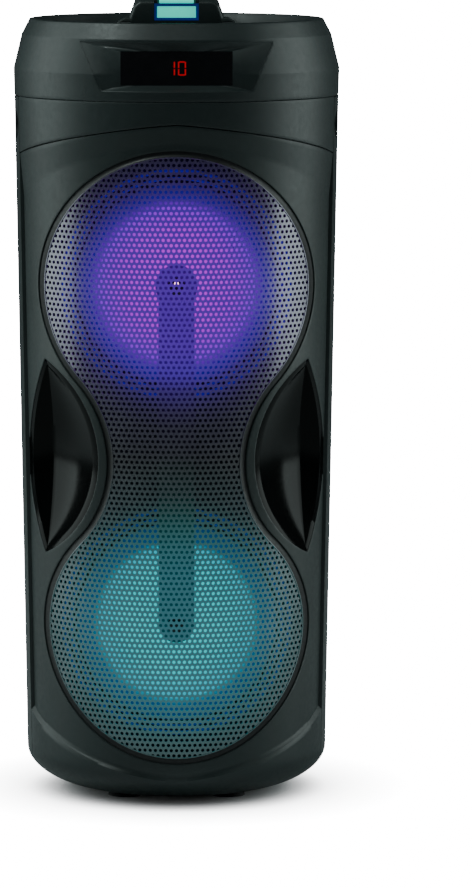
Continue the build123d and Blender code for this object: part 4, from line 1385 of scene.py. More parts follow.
@dataclass
class TopCap:
    """Cap with its shoulder, chamfered rim and the wall of the control well."""

    tower: Tower
    plastic: bpy.types.Material
    shoulder_rise: float = 21.0
    kink_rise: float = 47.0
    kink_inset: float = 6.3
    rim_inset: float = 12.5
    rim_land: float = 4.0
    well_clear: float = 0.3
    well_drop: float = 11.5
    well_depth: float = 26.0
    skin: float = 2.6
    bay_wall: float = 1.6
    bay_sink: float = 0.3
    bay_lap: float = 0.5
    step: float = 2.0
    tip_x: float = 72.2
    tip_drop: float = 14.2
    corner_x: float = 56.3
    corner_rise: float = 8.7
    seam_gap: float = 0.8
    sides: int = 420
    lip: float = 0.7

    def section(self) -> list[tuple[float, float]]:
        """Profile of the cap from the seam, over the rim and down the well.

        Returns:
            Radius and height of each point.
        """
        tower = self.tower
        well = box_edges("control_panel")[1][0] + self.well_clear
        rim_radius = tower.shoulder_radius - self.rim_inset
        corners = [
            (tower.seam_radius, tower.seam + self.seam_gap + self.lip, 0.0),
            (tower.shoulder_radius, tower.seam + self.shoulder_rise, 2.0),
            (tower.shoulder_radius - self.kink_inset, tower.seam + self.kink_rise, 2.5),
            (rim_radius, tower.rim, 1.6),
            (rim_radius - self.rim_land, tower.rim, 1.6),
            (well, tower.rim - self.well_drop, 3.0),
            (well, tower.rim - self.well_depth, 0.0),
        ]
        path: list[tuple[float, float]] = []
        for index, (r, z, rounding) in enumerate(corners):
            if rounding == 0.0:
                path.append((r, z))
                continue
            here = np.array([r, z])
            before = np.array(corners[index - 1][:2]) - here
            after = np.array(corners[index + 1][:2]) - here
            before /= np.linalg.norm(before)
            after /= np.linalg.norm(after)
            half = math.acos(float(np.clip(before @ after, -1, 1))) / 2
            reach = rounding / math.tan(half)
            start, end = here + before * reach, here + after * reach
            for way in np.linspace(0, 1, 5):
                path.append(tuple(start * (1 - way) ** 2 + here * 2 * way * (1 - way)
                                  + end * way ** 2))
        return path

    def rows(self) -> Points:
        """The profile with no step longer than the mesh pitch.

        Returns:
            Radius and height of each point.
        """
        path = self.section()
        made = [path[0]]
        for a, b in zip(path, path[1:]):
            length = math.dist(a, b)
            count = max(1, int(length / self.step))
            made += [(a[0] + (b[0] - a[0]) * k / count, a[1] + (b[1] - a[1]) * k / count)
                     for k in range(1, count + 1)]
        return np.array(made)

    def outline(self) -> list[tuple[float, float]]:
        """Corners of the display bay on the cap's face, anticlockwise in X and Z.

        Returns:
            X and Z of the four corners.
        """
        low = self.tower.seam + self.corner_rise
        high = self.tower.rim - self.tip_drop
        return [(-self.corner_x, low), (self.corner_x, low),
                (self.tip_x, high), (-self.tip_x, high)]

    def bay_distance(self, x: Points, y: Points, z: Points) -> Points:
        """Signed distance to the bay's outline, positive outside it.

        Args:
            x: X of each point.
            y: Y of each point, to leave the rear alone.
            z: Height of each point.

        Returns:
            The distance at each point.
        """
        corners = self.outline()
        distance = np.full_like(x, -1e9)
        for (ax, az), (bx, bz) in zip(corners, corners[1:] + corners[:1]):
            length = math.hypot(bx - ax, bz - az)
            side = ((x - ax) * (bz - az) - (z - az) * (bx - ax)) / length
            distance = np.maximum(distance, side)
        return np.where(y > 0, 99.0, distance)

    def surface_y(self, x: Points, z: Points) -> Points:
        """Depth position of the cap's outer face at the front.

        Args:
            x: X of each point.
            z: Height of each point.

        Returns:
            Y of the face at each point.
        """
        rows = self.rows()
        outer = rows[: int(np.argmax(rows[:, 1])) + 1]
        return round_front(np.interp(z, outer[:, 1], outer[:, 0]), x)

    def bay(self) -> tuple[Points, Faces]:
        """Four flared facets from the outline to the window.

        Returns:
            Vertices and polygons.
        """
        low, high = box_edges("display_window")
        window = [(low[0], low[2]), (high[0], low[2]), (high[0], high[2]), (low[0], high[2])]
        face = low[1]
        steps, across = 40, 10
        parts = []
        corners = self.outline()
        for index in range(4):
            a, b = np.array(corners[index]), np.array(corners[(index + 1) % 4])
            c, d = np.array(window[index]), np.array(window[(index + 1) % 4])
            rows = []
            for way in np.linspace(0, 1, across):
                line = []
                for along in np.linspace(0, 1, steps):
                    edge = a + (b - a) * along
                    far = c + (d - c) * along
                    y_edge = float(self.surface_y(edge[0], edge[1])) + self.bay_sink
                    line.append((edge[0] + (far[0] - edge[0]) * way, y_edge + (face - y_edge) * way,
                                 edge[1] + (far[1] - edge[1]) * way))
                rows.append(line)
            parts.append((np.array(rows).reshape(-1, 3), grid_faces(steps, across)))
        return joined(parts)

    def build(self) -> None:
        """Build the cap and the bay's facets."""
        rows = self.rows()
        turn = np.linspace(-math.pi, math.pi, self.sides, endpoint=False)
        radius = np.repeat(rows[:, 0], self.sides)
        height = np.repeat(rows[:, 1], self.sides)
        points = rotate_section(np.tile(turn, len(rows)), radius, height)
        faces = grid_faces(self.sides, len(rows), closed=True)
        points, faces = clip_faces(points, faces, self.bay_distance(*points.T) - self.bay_lap)
        points, faces = thicken(points, faces, self.skin, self.lip)
        make_piece("cap_skin", points, faces, self.plastic, "shell", sharp=50.0,
                   replaces=["top_cap"])
        points, faces = thicken(*weld(*self.bay()), self.bay_wall)
        make_piece("display_bay", points, faces, self.plastic, "shell", sharp=18.0)


def weld(points: Points, faces: Faces, reach: float = 0.01) -> tuple[Points, Faces]:
    """Merge vertices that lie at the same place and face the mesh to the front.

    Args:
        points: Vertices.
        faces: Polygons.
        reach: Largest distance that is merged.

    Returns:
        The merged vertices and polygons.
    """
    keys: dict[tuple[int, int, int], int] = {}
    index = []
    made = []
    for point in points:
        key = tuple(int(round(c / reach)) for c in point)
        if key not in keys:
            keys[key] = len(made)
            made.append(point)
        index.append(keys[key])
    polygons = []
    for face in faces:
        ring = [index[v] for v in face]
        ring = [v for n, v in enumerate(ring) if v != ring[n - 1]]
        if len(ring) > 2:
            polygons.append(ring)
    merged = np.array(made)
    return merged, facing_front(merged, polygons)


@dataclass
class Handle:
    """Carrying handle: bar, flared feet, and the light in its end and top."""

    tower: Tower
    plastic: bpy.types.Material
    dark: bpy.types.Material
    cyan: bpy.types.Material
    bezel_painted_glow: bpy.types.Material
    side: float = 37.0
    crown: float = 32.0
    thickness: float = 22.0
    waist_drop: float = 1.5
    shoulder: float = 4.0
    tuck: float = 3.0
    end_round: float = 1.6
    end_length: float = 2.2
    foot_length: float = 26.0
    bezel_half: float = 16.6
    strip_half: float = 13.0
    window_tall: float = 9.0
    top: float = field(init=False)
    foot: float = field(init=False)
    reach: float = field(init=False)
    sill: float = field(init=False)

    def __post_init__(self) -> None:
        """Read the handle's ends and the foot of its window."""
        low, high = box_edges("handle")
        self.reach, self.foot, self.top = high[1], low[2], high[2]
        self.sill = box_edges("handle_light")[0][2]

    def block(self, half_low: float, half_high: float, z_low: float, z_high: float,
              y_low: float, y_high: float, draft: float = 0.0) -> tuple[Points, Faces]:
        """Tapered block, narrower at the top.

        Args:
            half_low: Half width at the bottom.
            half_high: Half width at the top.
            z_low: Bottom.
            z_high: Top.
            y_low: Front face at the bottom.
            y_high: Rear face at the bottom.
            draft: Distance by which both end faces lean in at the top.

        Returns:
            The vertices and polygons.
        """
        rings = [
            np.array([(-w, a, z), (w, a, z), (w, b, z), (-w, b, z)])
            for w, z, a, b in ((half_low, z_low, y_low, y_high),
                               (half_high, z_high, y_low + draft, y_high - draft))
        ]
        return loft(rings)

    def bar(self) -> None:
        """Build the bar, with the pocket and the channel that hold the light."""
        waist = self.tower.rim - self.waist_drop
        ends = ((-self.reach, self.end_round), (-self.reach + self.end_length, 0.0),
                (self.reach - self.end_length, 0.0), (self.reach, self.end_round))
        rings = []
        for y, shrink in ends:
            right = [
                (self.side - shrink - self.tuck, self.top - self.thickness + shrink),
                (self.side - shrink, waist),
                (self.crown - shrink, self.top - self.shoulder),
                (self.crown - self.shoulder - shrink, self.top - shrink),
            ]
            left = [(-x, z) for x, z in reversed(right)]
            rings.append(np.array([(x, y, z) for x, z in left[-1:] + right + left[:-1]]))
        points, faces = bevelled(*loft(rings), 1.6, 3, 15.0)
        bar = make_piece("handle_bar", points, faces, self.plastic, "shell", sharp=60.0,
                         replaces=["handle"])
        pocket, channel = self.bezel_half + 0.2, self.strip_half + 1.2
        front, over = -self.reach - 5, self.top + 2
        cut_boxes(bar, [
            ((-pocket, front, self.sill - 1.8), (pocket, -self.reach + 4.0, over)),
            ((-channel, front, self.top - 2.6), (channel, self.reach - 8, over)),
        ])

    def feet(self) -> None:
        """Build the flanged front foot and the plain rear foot."""
        lip, reach = self.tower.rim, self.reach
        near, far = -reach + 0.2, -reach + self.foot_length
        block = bevelled(*self.block(44.4, 44.4, self.foot, lip + 0.4, near, far), 0.9)
        slope = bevelled(*self.block(44.0, 38.5, lip + 0.1, lip + 3.2, near, far, 0.4), 0.7)
        make_piece("handle_foot_front", *joined([block, slope]), self.plastic, "shell", sharp=60.0)
        block = self.block(40.0, 37.6, self.foot, lip - 9.0, reach - self.foot_length, reach - 0.6)
        make_piece("handle_foot_rear", *bevelled(*block, 1.4), self.plastic, "shell", sharp=60.0)

    def lamp(self) -> None:
        """Build the bezel, the lit pane and strip, and the rib between them."""
        head = self.sill + self.window_tall
        rings = []
        for inset, back in ((0.0, 3.8), (0.0, 0.1), (1.9, 0.5), (2.2, 2.6)):
            half, y = self.bezel_half - inset, -self.reach + back
            low, high = self.sill - 1.6 + inset, head + 1.9 - inset
            rings.append(np.array([(-half, y, low), (half, y, low),
                                   (half, y, high), (-half, y, high)]))
        # painted light: the bezel's faint blue glow stands in for the handle lamp's light on its
        # frame
        make_piece("handle_bezel", *loft(rings, caps=False), self.bezel_painted_glow, "light_cyan", sharp=30.0)
        front = -self.reach
        pane = self.block(14.6, 14.4, self.sill + 0.2, head - 0.1, front + 1.0, front + 3.6)
        strip = self.block(self.strip_half, self.strip_half, self.top - 2.4, self.top - 0.1,
                           front + 2.2, self.reach - 8.5)
        lit = joined([bevelled(*pane, 0.5), bevelled(*strip, 0.8)])
        make_piece("handle_lamp", *lit, self.cyan, "light_cyan", replaces=["handle_light"])
        rib = self.block(16.4, 16.2, head + 1.7, self.top - 2.7, front, front + 3.6)
        make_piece("handle_rib", *bevelled(*rib, 0.6), self.dark, "trim_black")

    def build(self) -> None:
        """Build the bar, its feet and the light."""
        self.bar()
        self.feet()
        self.lamp()


def cut_boxes(piece: bpy.types.Object, boxes: Sequence[tuple]) -> None:
    """Cut boxes out of a piece's mesh.

    Args:
        piece: Object to change.
        boxes: Lowest and highest corners, in millimetres.
    """
    for low, high in boxes:
        mesh = bpy.data.meshes.new("cutter")
        corners = [(x, y, z) for z in (low[2], high[2]) for y in (low[1], high[1])
                   for x in (low[0], high[0])]
        faces = [(0, 2, 3, 1), (4, 5, 7, 6), (0, 1, 5, 4), (2, 6, 7, 3), (0, 4, 6, 2), (1, 3, 7, 5)]
        mesh.from_pydata([tuple(c * MM for c in corner) for corner in corners], [], faces)
        cutter = bpy.data.objects.new("cutter", mesh)
        bpy.context.scene.collection.objects.link(cutter)
        modifier = piece.modifiers.new("cut", "BOOLEAN")
        modifier.operation = "DIFFERENCE"
        modifier.solver = "EXACT"
        modifier.object = cutter
        bpy.context.view_layer.update()
        evaluated = piece.evaluated_get(bpy.context.evaluated_depsgraph_get())
        changed = bpy.data.meshes.new_from_object(evaluated)
        piece.modifiers.remove(modifier)
        piece.data = changed
        bpy.data.objects.remove(cutter)
    piece.data.shade_smooth()
    piece.data.set_sharp_from_angle(angle=math.radians(35))


@dataclass
class Controls:
    """Knobs with flutes and pointers, push keys with marks, and dial ticks."""

    plastic: bpy.types.Material
    mark: bpy.types.Material
    key: bpy.types.Material
    flutes: int = 28
    keys: tuple[str, ...] = ("mode", "previous", "play", "next", "light")
    key_flange: float = 1.5
    sweep: float = 140.0
    ticks: int = 11

    def round_node(self, node: str) -> tuple[float, float, float, float, float]:
        """X, Y, foot, radius and height of a round control.

        Args:
            node: Frame node of the control.

        Returns:
            The five measures, in millimetres.
        """
        low, high = box_edges(node)
        x, y = (low[:2] + high[:2]) / 2
        return x, y, low[2], (high[0] - low[0]) / 2, high[2] - low[2]

    def knob(self, node: str, body: str) -> None:
        """Build one knob with its pointer.

        Args:
            node: Frame node that it stands for.
            body: Body that it rides on.
        """
        x, y, foot, radius, tall = self.round_node(node)

        def flute(turn: Points, index: int) -> Points:
            """Radius factor round the knob's side."""
            depth = 0.035 if 2 <= index <= 7 else 0.0
            return 1 - depth * (0.5 + 0.5 * np.cos(self.flutes * turn)) ** 2

        section = [
            (3.1, 0.2), (radius - 0.6, 0.0), (radius, 0.6), (radius, 2.4), (radius * 0.93, 3.2),
            (radius * 0.92, tall * 0.5), (radius * 0.9, tall - 1.8), (radius * 0.87, tall - 0.9),
            (radius * 0.8, tall - 0.3), (radius * 0.72, tall), (radius * 0.3, tall - 0.5),
            (0, tall - 0.6),
        ]
        points, faces = turned(section, (x, y, foot), sides=168, flute=flute)
        make_piece(f"{node}_grip", points, faces, self.plastic, "knob", body, replaces=[node])
        half, near, far, high = 0.55, radius * 0.25, radius * 0.78, tall - 0.7
        line = [(-half, near, high), (half, near, high), (half, far, high), (-half, far, high)]
        ring = np.array(line) + np.array([x, y, foot])
        points, faces = loft([ring, ring + np.array([0, 0, 0.69])])
        make_piece(f"{node}_pointer", *bevelled(points, faces, 0.15, 2), self.mark, "button", body)

    def dial(self, node: str) -> tuple[Points, Faces]:
        """Raised ticks on the panel round one knob.

        Args:
            node: Frame node of the knob.

        Returns:
            Vertices and polygons.
        """
        x, y, _, radius, _ = self.round_node(node)
        panel = box_edges("control_panel")[1][2]
        parts = []
        for step in range(self.ticks):
            turn = math.radians(self.sweep - 2 * self.sweep * step / (self.ticks - 1))
            reach = 2.6 if step % 5 == 0 else 1.6
            out = np.array([-math.sin(turn), math.cos(turn), 0])
            side = np.array([math.cos(turn), math.sin(turn), 0]) * 0.35
            near = np.array([x, y, panel]) + out * (radius + 1.4)
            far = near + out * reach
            ring = np.array([near - side, far - side, far + side, near + side])
            parts.append(loft([ring, ring + np.array([0, 0, 0.15])]))
        return joined(parts)

    def icon(self, name: str) -> list[list[tuple[float, float]]]:
        """Outlines of the mark on a key, within a few millimetres of its centre.

        Args:
            name: Name of the key.

        Returns:
            One list of corners for each stroke.
        """
        right = [(-1.0, -1.5), (1.4, 0.0), (-1.0, 1.5)]
        left = [(1.0, -1.5), (1.0, 1.5), (-1.4, 0.0)]
        bar = [(-0.3, -1.5), (0.3, -1.5), (0.3, 1.5), (-0.3, 1.5)]
        dot = [(1.3 * math.cos(a), 1.3 * math.sin(a)) for a in np.arange(12) * math.pi / 6]
        shifted = {
            "play": [(right, -0.9), (bar, 1.3), (bar, 2.3)],
            "next": [(right, -0.8), (right, 1.2), (bar, 2.6)],
            "previous": [(left, 0.8), (left, -1.2), (bar, -2.6)],
            "mode": [(bar, -1.4), (bar, 0.0), (bar, 1.4)],
            "light": [(dot, 0.0)],
        }
        return [[(px + dx, pz) for px, pz in shape] for shape, dx in shifted[name]]

    def push_key(self, name: str) -> None:
        """Build one push key with a dished top and its mark.

        Args:
            name: Name of the key.
        """
        node, body = f"{name}_button", f"{name}_key"
        x, y, foot, wide, tall = self.round_node(node)
        radius = wide - self.key_flange
        section = [
            (0, 0), (wide, 0), (wide, 1.5), (radius, 1.5), (radius, tall - 0.9),
            (radius - 0.3, tall - 0.3), (radius - 0.9, tall), (radius * 0.5, tall - 0.25),
            (0, tall - 0.35),
        ]
        points, faces = turned(section, (x, y, foot), sides=64)
        make_piece(f"{node}_cap", points, faces, self.key, "button", body, replaces=[node])
        parts = []
        for shape in self.icon(name):
            ring = np.array([(x + a, y + b, foot + tall - 0.5) for a, b in shape])
            parts.append(loft([ring, ring + np.array([0, 0, 0.42])]))
        make_piece(f"{node}_mark", *joined(parts), self.mark, "button", body)

    def build(self) -> None:
        """Build both knobs, their dials and every key."""
        knobs = {"volume_knob": "volume_dial", "mic_volume_knob": "mic_dial"}
        for node, body in knobs.items():
            self.knob(node, body)
        ticks = joined([self.dial(node) for node in knobs])
        make_piece("dial_ticks", *ticks, self.mark, "button")
        for name in self.keys:
            self.push_key(name)


@dataclass
class Woofer:
    """One driver: cone with ribs, dust cap, and a roll surround in two halves."""

    place: Place
    cone_finish: bpy.types.Material
    roll_finish: bpy.types.Material
    lamp: bpy.types.Material
    ribs: int = 5
    rib_height: float = 0.35
    cone_steps: int = 40
    neck_radius: float = 18.2
    rim_clear: float = 0.4
    neck_clear: float = 0.9
    flare: float = 1.12
    paper: float = 0.8

    def centre(self) -> tuple[float, float, float]:
        """Point on the woofer's axis at the baffle's front face."""
        low, high = box_edges(f"light_ring_{self.place.value}")
        return 0.0, float(high[1]), float((low[2] + high[2]) / 2)

    def span(self, node: str) -> tuple[float, float, float]:
        """Radius of one of the driver's nodes, and its rear and front ahead of the baffle.

        Args:
            node: First part of the name of the node.

        Returns:
            Radius, rear and front.
        """
        low, high = box_edges(f"{node}_{self.place.value}")
        face = self.centre()[1]
        return (high[0] - low[0]) / 2, face - high[1], face - low[1]

    def add(self, name: str, section: Sequence[tuple[float, float]], sides: int,
            finish: bpy.types.Material, slot: str, body: Optional[str] = CABINET,
            replaces: Iterable[str] = ()) -> bpy.types.Object:
        """Turn a section about the driver's axis into a piece.

        Args:
            name: Name of the piece.
            section: Radius and distance ahead of the baffle.
            sides: Steps round the axis.
            finish: Its material.
            slot: Name of a material slot, passed on to make_piece.
            body: Body that it rides on, or nothing.
            replaces: Frame nodes that it stands for.

        Returns:
            The new object.
        """
        return make_piece(name, *turned(section, self.centre(), "F", sides), finish, slot, body,
                          replaces=replaces)

    def cone(self) -> None:
        """Build the ribbed cone and the dust cap, which move together."""
        name, body = self.place.value, f"{self.place.value}_cone"
        radius, neck, front = self.span("cone")
        outer_face, inner_face = [], []
        for step in range(self.cone_steps + 1):
            way = step / self.cone_steps
            r = self.neck_radius + (radius - self.rim_clear - self.neck_radius) * way
            along = neck + self.neck_clear + (front - neck - self.neck_clear) * (way ** self.flare)
            wave = self.rib_height * max(0.0, math.sin(2 * math.pi * self.ribs * way))
            outer_face.append((r, along + (wave if 0.1 < way < 0.95 else 0.0)))
            inner_face.append((r, along - self.paper))
        ring = outer_face + list(reversed(inner_face)) + [outer_face[0]]
        self.add(f"cone_{name}_ribbed", ring, 128, self.cone_finish, "cone_paper", body,
                 [f"cone_{name}"])
        radius, base, crown = self.span("dust_cap")
        dome = (radius ** 2 + (crown - base) ** 2) / (2 * (crown - base))
        arc = [(dome * math.sin(a), crown - dome + dome * math.cos(a))
               for a in np.linspace(0, math.asin(radius / dome), 14)]
        shell = arc + [(radius - 1, base), (0, base + 0.5)]
        self.add(f"dust_cap_{name}_dome", shell, 96, self.cone_finish, "cone_paper", body,
                 [f"dust_cap_{name}"])

    def surround(self) -> None:
        """Build the roll in two halves: the outer half rides on the cabinet, the inner half on no
        body.
        """
        name = self.place.value
        radius = self.span("cone")[0]
        rim, base, crest = self.span("surround")
        roll = crest - base
        middle = (radius + roll - 0.5, base)
        edge = radius - 1.5
        halves = []
        for end, back, tab in ((10, 8, rim), (170, 172, edge)):
            half = arc_points(middle, roll, 90, end, 10) + [(tab, base + 1.0), (tab, base + 0.1)]
            half += arc_points(middle, roll - 1.0, back, 90, 10)
            halves.append(half + half[:1])
        self.add(f"surround_{name}_outer", halves[0], 128, self.roll_finish, "foam",
                 replaces=[f"surround_{name}"])
        inner = self.add(f"surround_{name}_inner", halves[1], 128, self.roll_finish, "foam", None)
        _, face, height = self.centre()
        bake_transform(inner)

    def build(self) -> None:
        """Build the moving cone, the surround and the lamp ring."""
        self.cone()
        self.surround()
        name = self.place.value
        wide = self.span("light_ring")[0]
        rings = [turned(arc_points((wide - inset, ahead), thick, 0, 360, steps), self.centre(),
                        "F", 160)
                 for inset, ahead, thick, steps in ((3.2, 1.9, 1.5, 16), (9.0, 4.1, 1.1, 12))]
        make_piece(f"lamp_ring_{name}", *joined(rings), self.lamp,
                   "light_violet" if self.place is Place.UPPER else "light_teal",
                   replaces=[f"light_ring_{name}"])


@dataclass
class LightBridge:
    """Bar in front of the cones with a lamp boss at each end."""

    black: bpy.types.Material
    cover: bpy.types.Material
    lens: bpy.types.Material

    def build(self) -> None:
        """Build the bar with rounded edges and its two lenses."""
        low, high = box_edges("light_bridge")
        lens_low, lens_high = box_edges("bridge_lenses")
        lens_radius = (lens_high[0] - lens_low[0]) / 2
        upper, lower = lens_high[2] - lens_radius, lens_low[2] + lens_radius
        hub = high[2] - upper
        bar = lower - low[2]
        lean = math.degrees(math.acos(bar / hub))
        outline = arc_points((0, upper), hub, -lean, 180 + lean, 40)
        outline += arc_points((0, lower), bar, 180, 360, 24)
        back, front = high[1], low[1]
        rings = [np.array([(x, y, z) for x, z in outline]) for y in (back, front)]
        points, faces = bevelled(*loft(rings), 1.4, 3, 40.0)
        make_piece("bridge_bar", points, faces, self.black, "trim_black", replaces=["light_bridge"])
        parts = []
        for height in (upper, lower):
            section = [(0, -0.4), (lens_radius - 0.1, -0.4), (lens_radius - 0.1, 0.1),
                       (lens_radius * 0.8, 0.3), (lens_radius * 0.4, 0.5), (0, 0.55)]
            parts.append(turned(section, (0, front, height), "F", 48))
        make_piece("bridge_covers", *joined(parts), self.cover, "light_violet",
                   replaces=["bridge_lenses"])
        dot = [(0, 0.3), (1.7, 0.3), (1.7, 1.4), (1.0, 2.2), (0, 2.5)]
        make_piece("bridge_lamp", *turned(dot, (0, front, upper + 2), "F", 32), self.lens,
                   "light_violet")


@dataclass
class FrameDressing:
    """Finishes for the frame nodes that keep their own shape."""

    finishes: dict[str, bpy.types.Material]

    def build(self) -> None:
        """Give every node that is still shown its finish, by name or by first word."""
        for node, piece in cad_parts.items():
            keys = [node, node.rsplit("_", 1)[0], node.rsplit("_", 1)[-1]]
            finish = next(self.finishes[key] for key in keys if key in self.finishes)
            piece.data.materials.clear()
            piece.data.materials.append(finish)
            log.info("node %s: %s", node, finish.name)


@dataclass
class Studio:
    """Camera, floor and soft lights."""

    distance: float = 4.069
    height: float = 0.757
    pitch: float = 6.86
    focal: float = 214.8
    shift: float = 0.067
    white: float = 22.0
    ambient: Colour = (0.030, 0.034, 0.036)
    shade_reach: float = 0.11
    floor_half: float = 12.0

    def area(self, name: str, place: tuple[float, float, float], target: tuple[float, float, float],
             size: tuple[float, float], power: float, colour: Colour) -> None:
        """Add one soft light.

        Args:
            name: Name of the light.
            place: Its position in metres.
            target: The point that it faces.
            size: Width and height in metres.
            power: Power in watts.
            colour: Colour of the light.
        """
        data = bpy.data.lights.new(name, "AREA")
        data.shape = "RECTANGLE"
        data.size, data.size_y = size
        data.energy = power
        data.color = colour
        lamp = bpy.data.objects.new(name, data)
        lamp.location = place
        way = Vector(target) - Vector(place)
        lamp.rotation_euler = way.to_track_quat("-Z", "Y").to_euler()
        bpy.context.scene.collection.objects.link(lamp)

    def camera(self) -> None:
        """Place the camera in front, looking slightly down."""
        data = bpy.data.cameras.new("camera")
        data.lens = self.focal
        data.shift_x = self.shift
        data.clip_end = 50
        camera = bpy.data.objects.new("camera", data)
        camera.location = (0, -self.distance, self.height)
        camera.rotation_euler = (math.radians(90 - self.pitch), 0, 0)
        bpy.context.scene.collection.objects.link(camera)
        bpy.context.scene.camera = camera

    def floor(self) -> None:
        """Lay the pale floor, which shows white to the camera, with a painted contact shadow: its
        glow is darkened by ambient occlusion near the speaker.
        """
        sheet = NodeSheet("floor_paint")
        cloud = sheet.noise(400.0, 2.0)
        sheet.base(cloud, [(CLOUD_LOW, (0.62, 0.64, 0.65)), (CLOUD_HIGH, (0.66, 0.68, 0.69))])
        sheet.set(Roughness=0.9, Specular_IOR_Level=0.0, Emission_Color=(0.985, 0.99, 1.0, 1.0))
        near = sheet.tree.nodes.new("ShaderNodeAmbientOcclusion")
        near.inputs["Distance"].default_value = self.shade_reach
        near.samples = 16
        seen = sheet.tree.nodes.new("ShaderNodeLightPath").outputs["Is Camera Ray"]
        # painted shadow: ambient occlusion dims the floor's camera-only glow around the speaker's
        # foot
        contact_shadow_paint = sheet.math("POWER", near.outputs["AO"], 2.6)
        glow = sheet.math("MULTIPLY", contact_shadow_paint, self.white)
        sheet.join(sheet.math("MULTIPLY", glow, seen), sheet.surface.inputs["Emission Strength"])
        mesh = bpy.data.meshes.new("floor")
        corners = [(x * self.floor_half, y * self.floor_half, 0)
                   for x, y in ((-1, -1), (1, -1), (1, 1), (-1, 1))]
        mesh.from_pydata(corners, [], [(0, 1, 2, 3)])
        mesh.materials.append(sheet.material)
        floor = bpy.data.objects.new("floor", mesh)
        bpy.context.scene.collection.objects.link(floor)

    def world(self) -> None:
        """Make a dim surrounding that shows white to the camera."""
        world = bpy.data.worlds.new("studio")
        world.use_nodes = True
        tree = world.node_tree
        background = tree.nodes["Background"]
        path = tree.nodes.new("ShaderNodeLightPath")
        mix = tree.nodes.new("ShaderNodeMix")
        mix.data_type = "RGBA"
        mix.inputs[MIX_FIRST].default_value = (*self.ambient, 1)
        mix.inputs[MIX_SECOND].default_value = (self.white, self.white, self.white, 1)
        tree.links.new(path.outputs["Is Camera Ray"], mix.inputs["Factor"])
        tree.links.new(mix.outputs[MIX_RESULT], background.inputs["Color"])
        bpy.context.scene.world = world

    def build(self) -> None:
        """Build the camera, the floor, the world and the lights."""
        self.camera()
        self.floor()
        self.world()
        cool = (0.86, 1.0, 0.97)
        self.area("key_left", (-1.8, 0.30, 0.92), (0, 0, 0.34), (1.3, 1.8), 18, cool)
        self.area("key_right", (1.8, 0.10, 0.88), (0, 0, 0.32), (1.2, 1.7), 19, cool)
        self.area("crown_left", (-1.1, -0.5, 1.9), (0, 0, 0.56), (0.5, 0.5), 12, cool)
        self.area("front_over", (0, -1.3, 2.3), (0, 0, 0.5), (1.6, 0.8), 5, cool)


# ---------------------------------------------------------------- painted lamp glow on the grille sheet and the cones
PAINTED_VIOLET_ON_SHEET = ((0.0, (0.064, 0.0, 0.34)), (45.0, (0.062, 0.0, 0.34)), (62.0, (0.044, 0.0, 0.31)),
                (76.0, (0.020, 0.0, 0.125)), (92.0, (0.008, 0.0, 0.036)),
                (104.0, (0.003, 0.0, 0.012)), (135.0, (0.0, 0.0, 0.0)))
PAINTED_TEAL_ON_SHEET = ((0.0, (0.0, 0.092, 0.116)), (45.0, (0.0, 0.090, 0.112)), (62.0, (0.0, 0.082, 0.096)),
              (78.0, (0.0, 0.060, 0.062)), (92.0, (0.0, 0.032, 0.030)),
              (104.0, (0.0, 0.012, 0.012)), (135.0, (0.0, 0.0, 0.0)))
PAINTED_VIOLET_ON_CONE = ((0.0, (0.66, 0.004, 0.95)), (40.0, (0.52, 0.004, 0.85)), (61.0, (0.22, 0.004, 0.80)),
               (66.0, (0.03, 0.004, 0.40)), (84.0, (0.008, 0.001, 0.12)),
               (100.0, (0.001, 0.0, 0.01)))
PAINTED_TEAL_ON_CONE = ((0.0, (0.006, 0.66, 0.68)), (40.0, (0.005, 0.62, 0.66)), (60.0, (0.003, 0.42, 0.58)),
             (64.0, (0.002, 0.10, 0.30)), (84.0, (0.001, 0.03, 0.11)), (100.0, (0.0, 0.002, 0.008)))


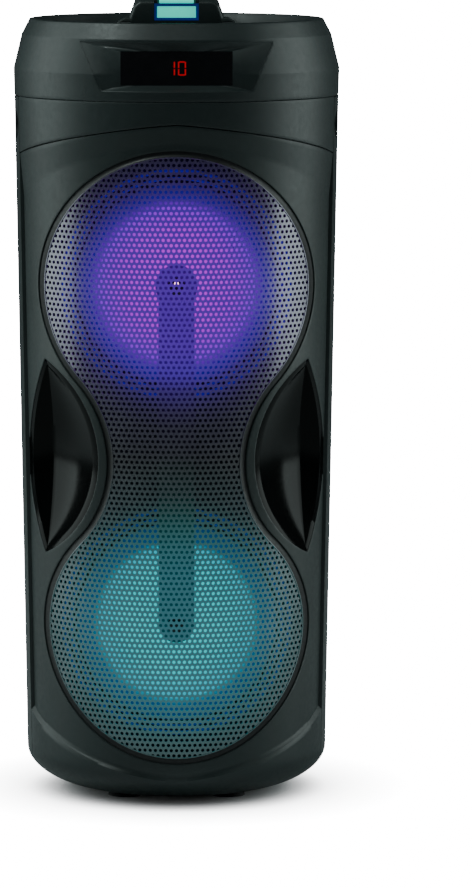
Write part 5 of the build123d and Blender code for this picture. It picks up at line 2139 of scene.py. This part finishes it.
def main() -> None:
    """Build every sub-assembly in order and dress the frame's own nodes."""
    logging.basicConfig(level=logging.INFO, format="%(message)s")
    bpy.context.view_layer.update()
    tower = Tower.from_frame()
    shell = Moulding("shell_plastic", (0.0145, 0.0232, 0.0230), 0.45).material()
    gloss = Moulding("scoop_gloss", (0.0015, 0.002, 0.002), 0.14, 0.03, 0.5, 0.006, 0.0,
                     0.08).material()
    black = Moulding("trim_black", (0.006, 0.006, 0.007), 0.5, 0.08, 0.6, 0.05).material()
    knob = Moulding("knob_plastic", (0.02, 0.022, 0.024), 0.4, 0.06, 0.4, 0.04).material()
    key = Moulding("key_rubber", (0.035, 0.037, 0.04), 0.55, 0.08, 0.4, 0.05).material()
    mark = Moulding("mark_ink", (0.62, 0.64, 0.66), 0.45, 0.05, 0.3, 0.02).material()
    rubber = Moulding("foot_rubber", (0.018, 0.018, 0.018), 0.75, 0.1, 0.5, 0.1).material()
    wrap = Moulding("battery_wrap", (0.01, 0.05, 0.22), 0.3, 0.05, 1.0, 0.03, 0.4).material()
    # painted light: emission rings on the grille, cones, surrounds, baffles and bridge stand in for
    # the lamps' light falling on them
    painted_glows = ((tower.upper_z, PAINTED_VIOLET_ON_SHEET), (tower.lower_z, PAINTED_TEAL_ON_SHEET))
    painted_cone_glows = ((tower.upper_z, PAINTED_VIOLET_ON_CONE), (tower.lower_z, PAINTED_TEAL_ON_CONE))
    coat = PaintedGlowFront("grille_coat", (0.19, 0.19, 0.205), 0.31, painted_glows, 1.0, 0.95).material()
    cone = PaintedGlowFront("cone_paper", (0.02, 0.02, 0.022), 0.6, painted_cone_glows, 1.0).material()
    roll = PaintedGlowFront("surround_foam", (0.02, 0.02, 0.022), 0.65, painted_cone_glows, 0.6).material()
    wood = PaintedGlowFront("baffle_paint", (0.012, 0.012, 0.013), 0.7, painted_cone_glows, 0.05).material()
    bar = PaintedGlowFront("bridge_black", (0.01, 0.01, 0.012), 0.5, painted_glows, 0.5).material()
    cyan = Glow("lamp_cyan", (0.02, 0.78, 0.60), 1.0).material()
    # painted light: faint blue emission on the bezel, standing in for the lamp's light falling on
    # it
    bezel_painted_glow = Glow("bezel_blue", (0.002, 0.02, 0.16), 0.6, 6.0).material()
    violet = Glow("lamp_violet", (0.03, 0.004, 0.55), 0.3).material()
    teal = Glow("lamp_teal", (0.004, 0.09, 0.42), 0.3).material()
    spot = Glow("lamp_spot", (1.0, 0.45, 0.65), 4.0, 4.0).material()
    red = Glow("digit_red", (0.55, 0.0, 0.004), 0.7, 3.0).material()
    steel = Metal("plate_steel", (0.5, 0.5, 0.52), 0.35).material()
    nickel = Metal("jack_nickel", (0.6, 0.58, 0.55), 0.22, 0.3).material()
    zinc = Metal("screw_zinc", (0.05, 0.05, 0.055), 0.35, 0.3, "Z").material()
    copper = Metal("coil_copper", (0.75, 0.33, 0.15), 0.3, 0.3).material()
    ferrite = Moulding("magnet_ferrite", (0.03, 0.03, 0.033), 0.6, 0.1, 0.8, 0.08).material()
    smoked = Smoked().material()
    board = Board().material()
    cloth = Weave().material()

    Studio().build()
    scoop = Scoop(tower)
    FrontShell(tower, scoop, shell, black).build()
    ScoopLiners(tower, scoop, gloss).build()
    Grille(tower, coat, black).build()
    TopCap(tower, shell).build()
    Handle(tower, shell, black, cyan, bezel_painted_glow).build()
    Controls(knob, mark, key).build()
    for place, lamp in ((Place.UPPER, violet), (Place.LOWER, teal)):
        Woofer(place, cone, roll, lamp).build()
    LightBridge(bar, smoked, spot).build()
    FrameDressing({
        "front_shell": shell, "rear_shell": shell, "top_cap": shell, "control_panel": shell,
        "handle": shell, "jack_panel": shell, "base_plate": black, "side_scoops": gloss,
        "grille": coat, "grille_frame": black, "strap_sockets": black, "bass_port": black,
        "light_bridge": bar, "switch_housing": black, "card_slot": black, "power_rocker": key,
        "baffle": wood, "rubber_feet": rubber, "display_window": smoked, "display_digits": red,
        "handle_light": cyan, "bridge_lenses": spot, "light_ring": violet, "cone": cone,
        "dust_cap": cone, "surround": roll, "spider": cloth, "voice_coil": copper,
        "top_plate": steel, "yoke": steel, "magnet": ferrite, "basket": black,
        "amplifier_board": board, "control_board": board, "display_module": board,
        "battery_pack": wrap, "knob": knob, "button": key, "mic_jack": nickel,
        "aux_jack": nickel, "charge_inlet": nickel, "usb_port": nickel, "screws": zinc,
    }).build()


if __name__ == "__main__":
    main()
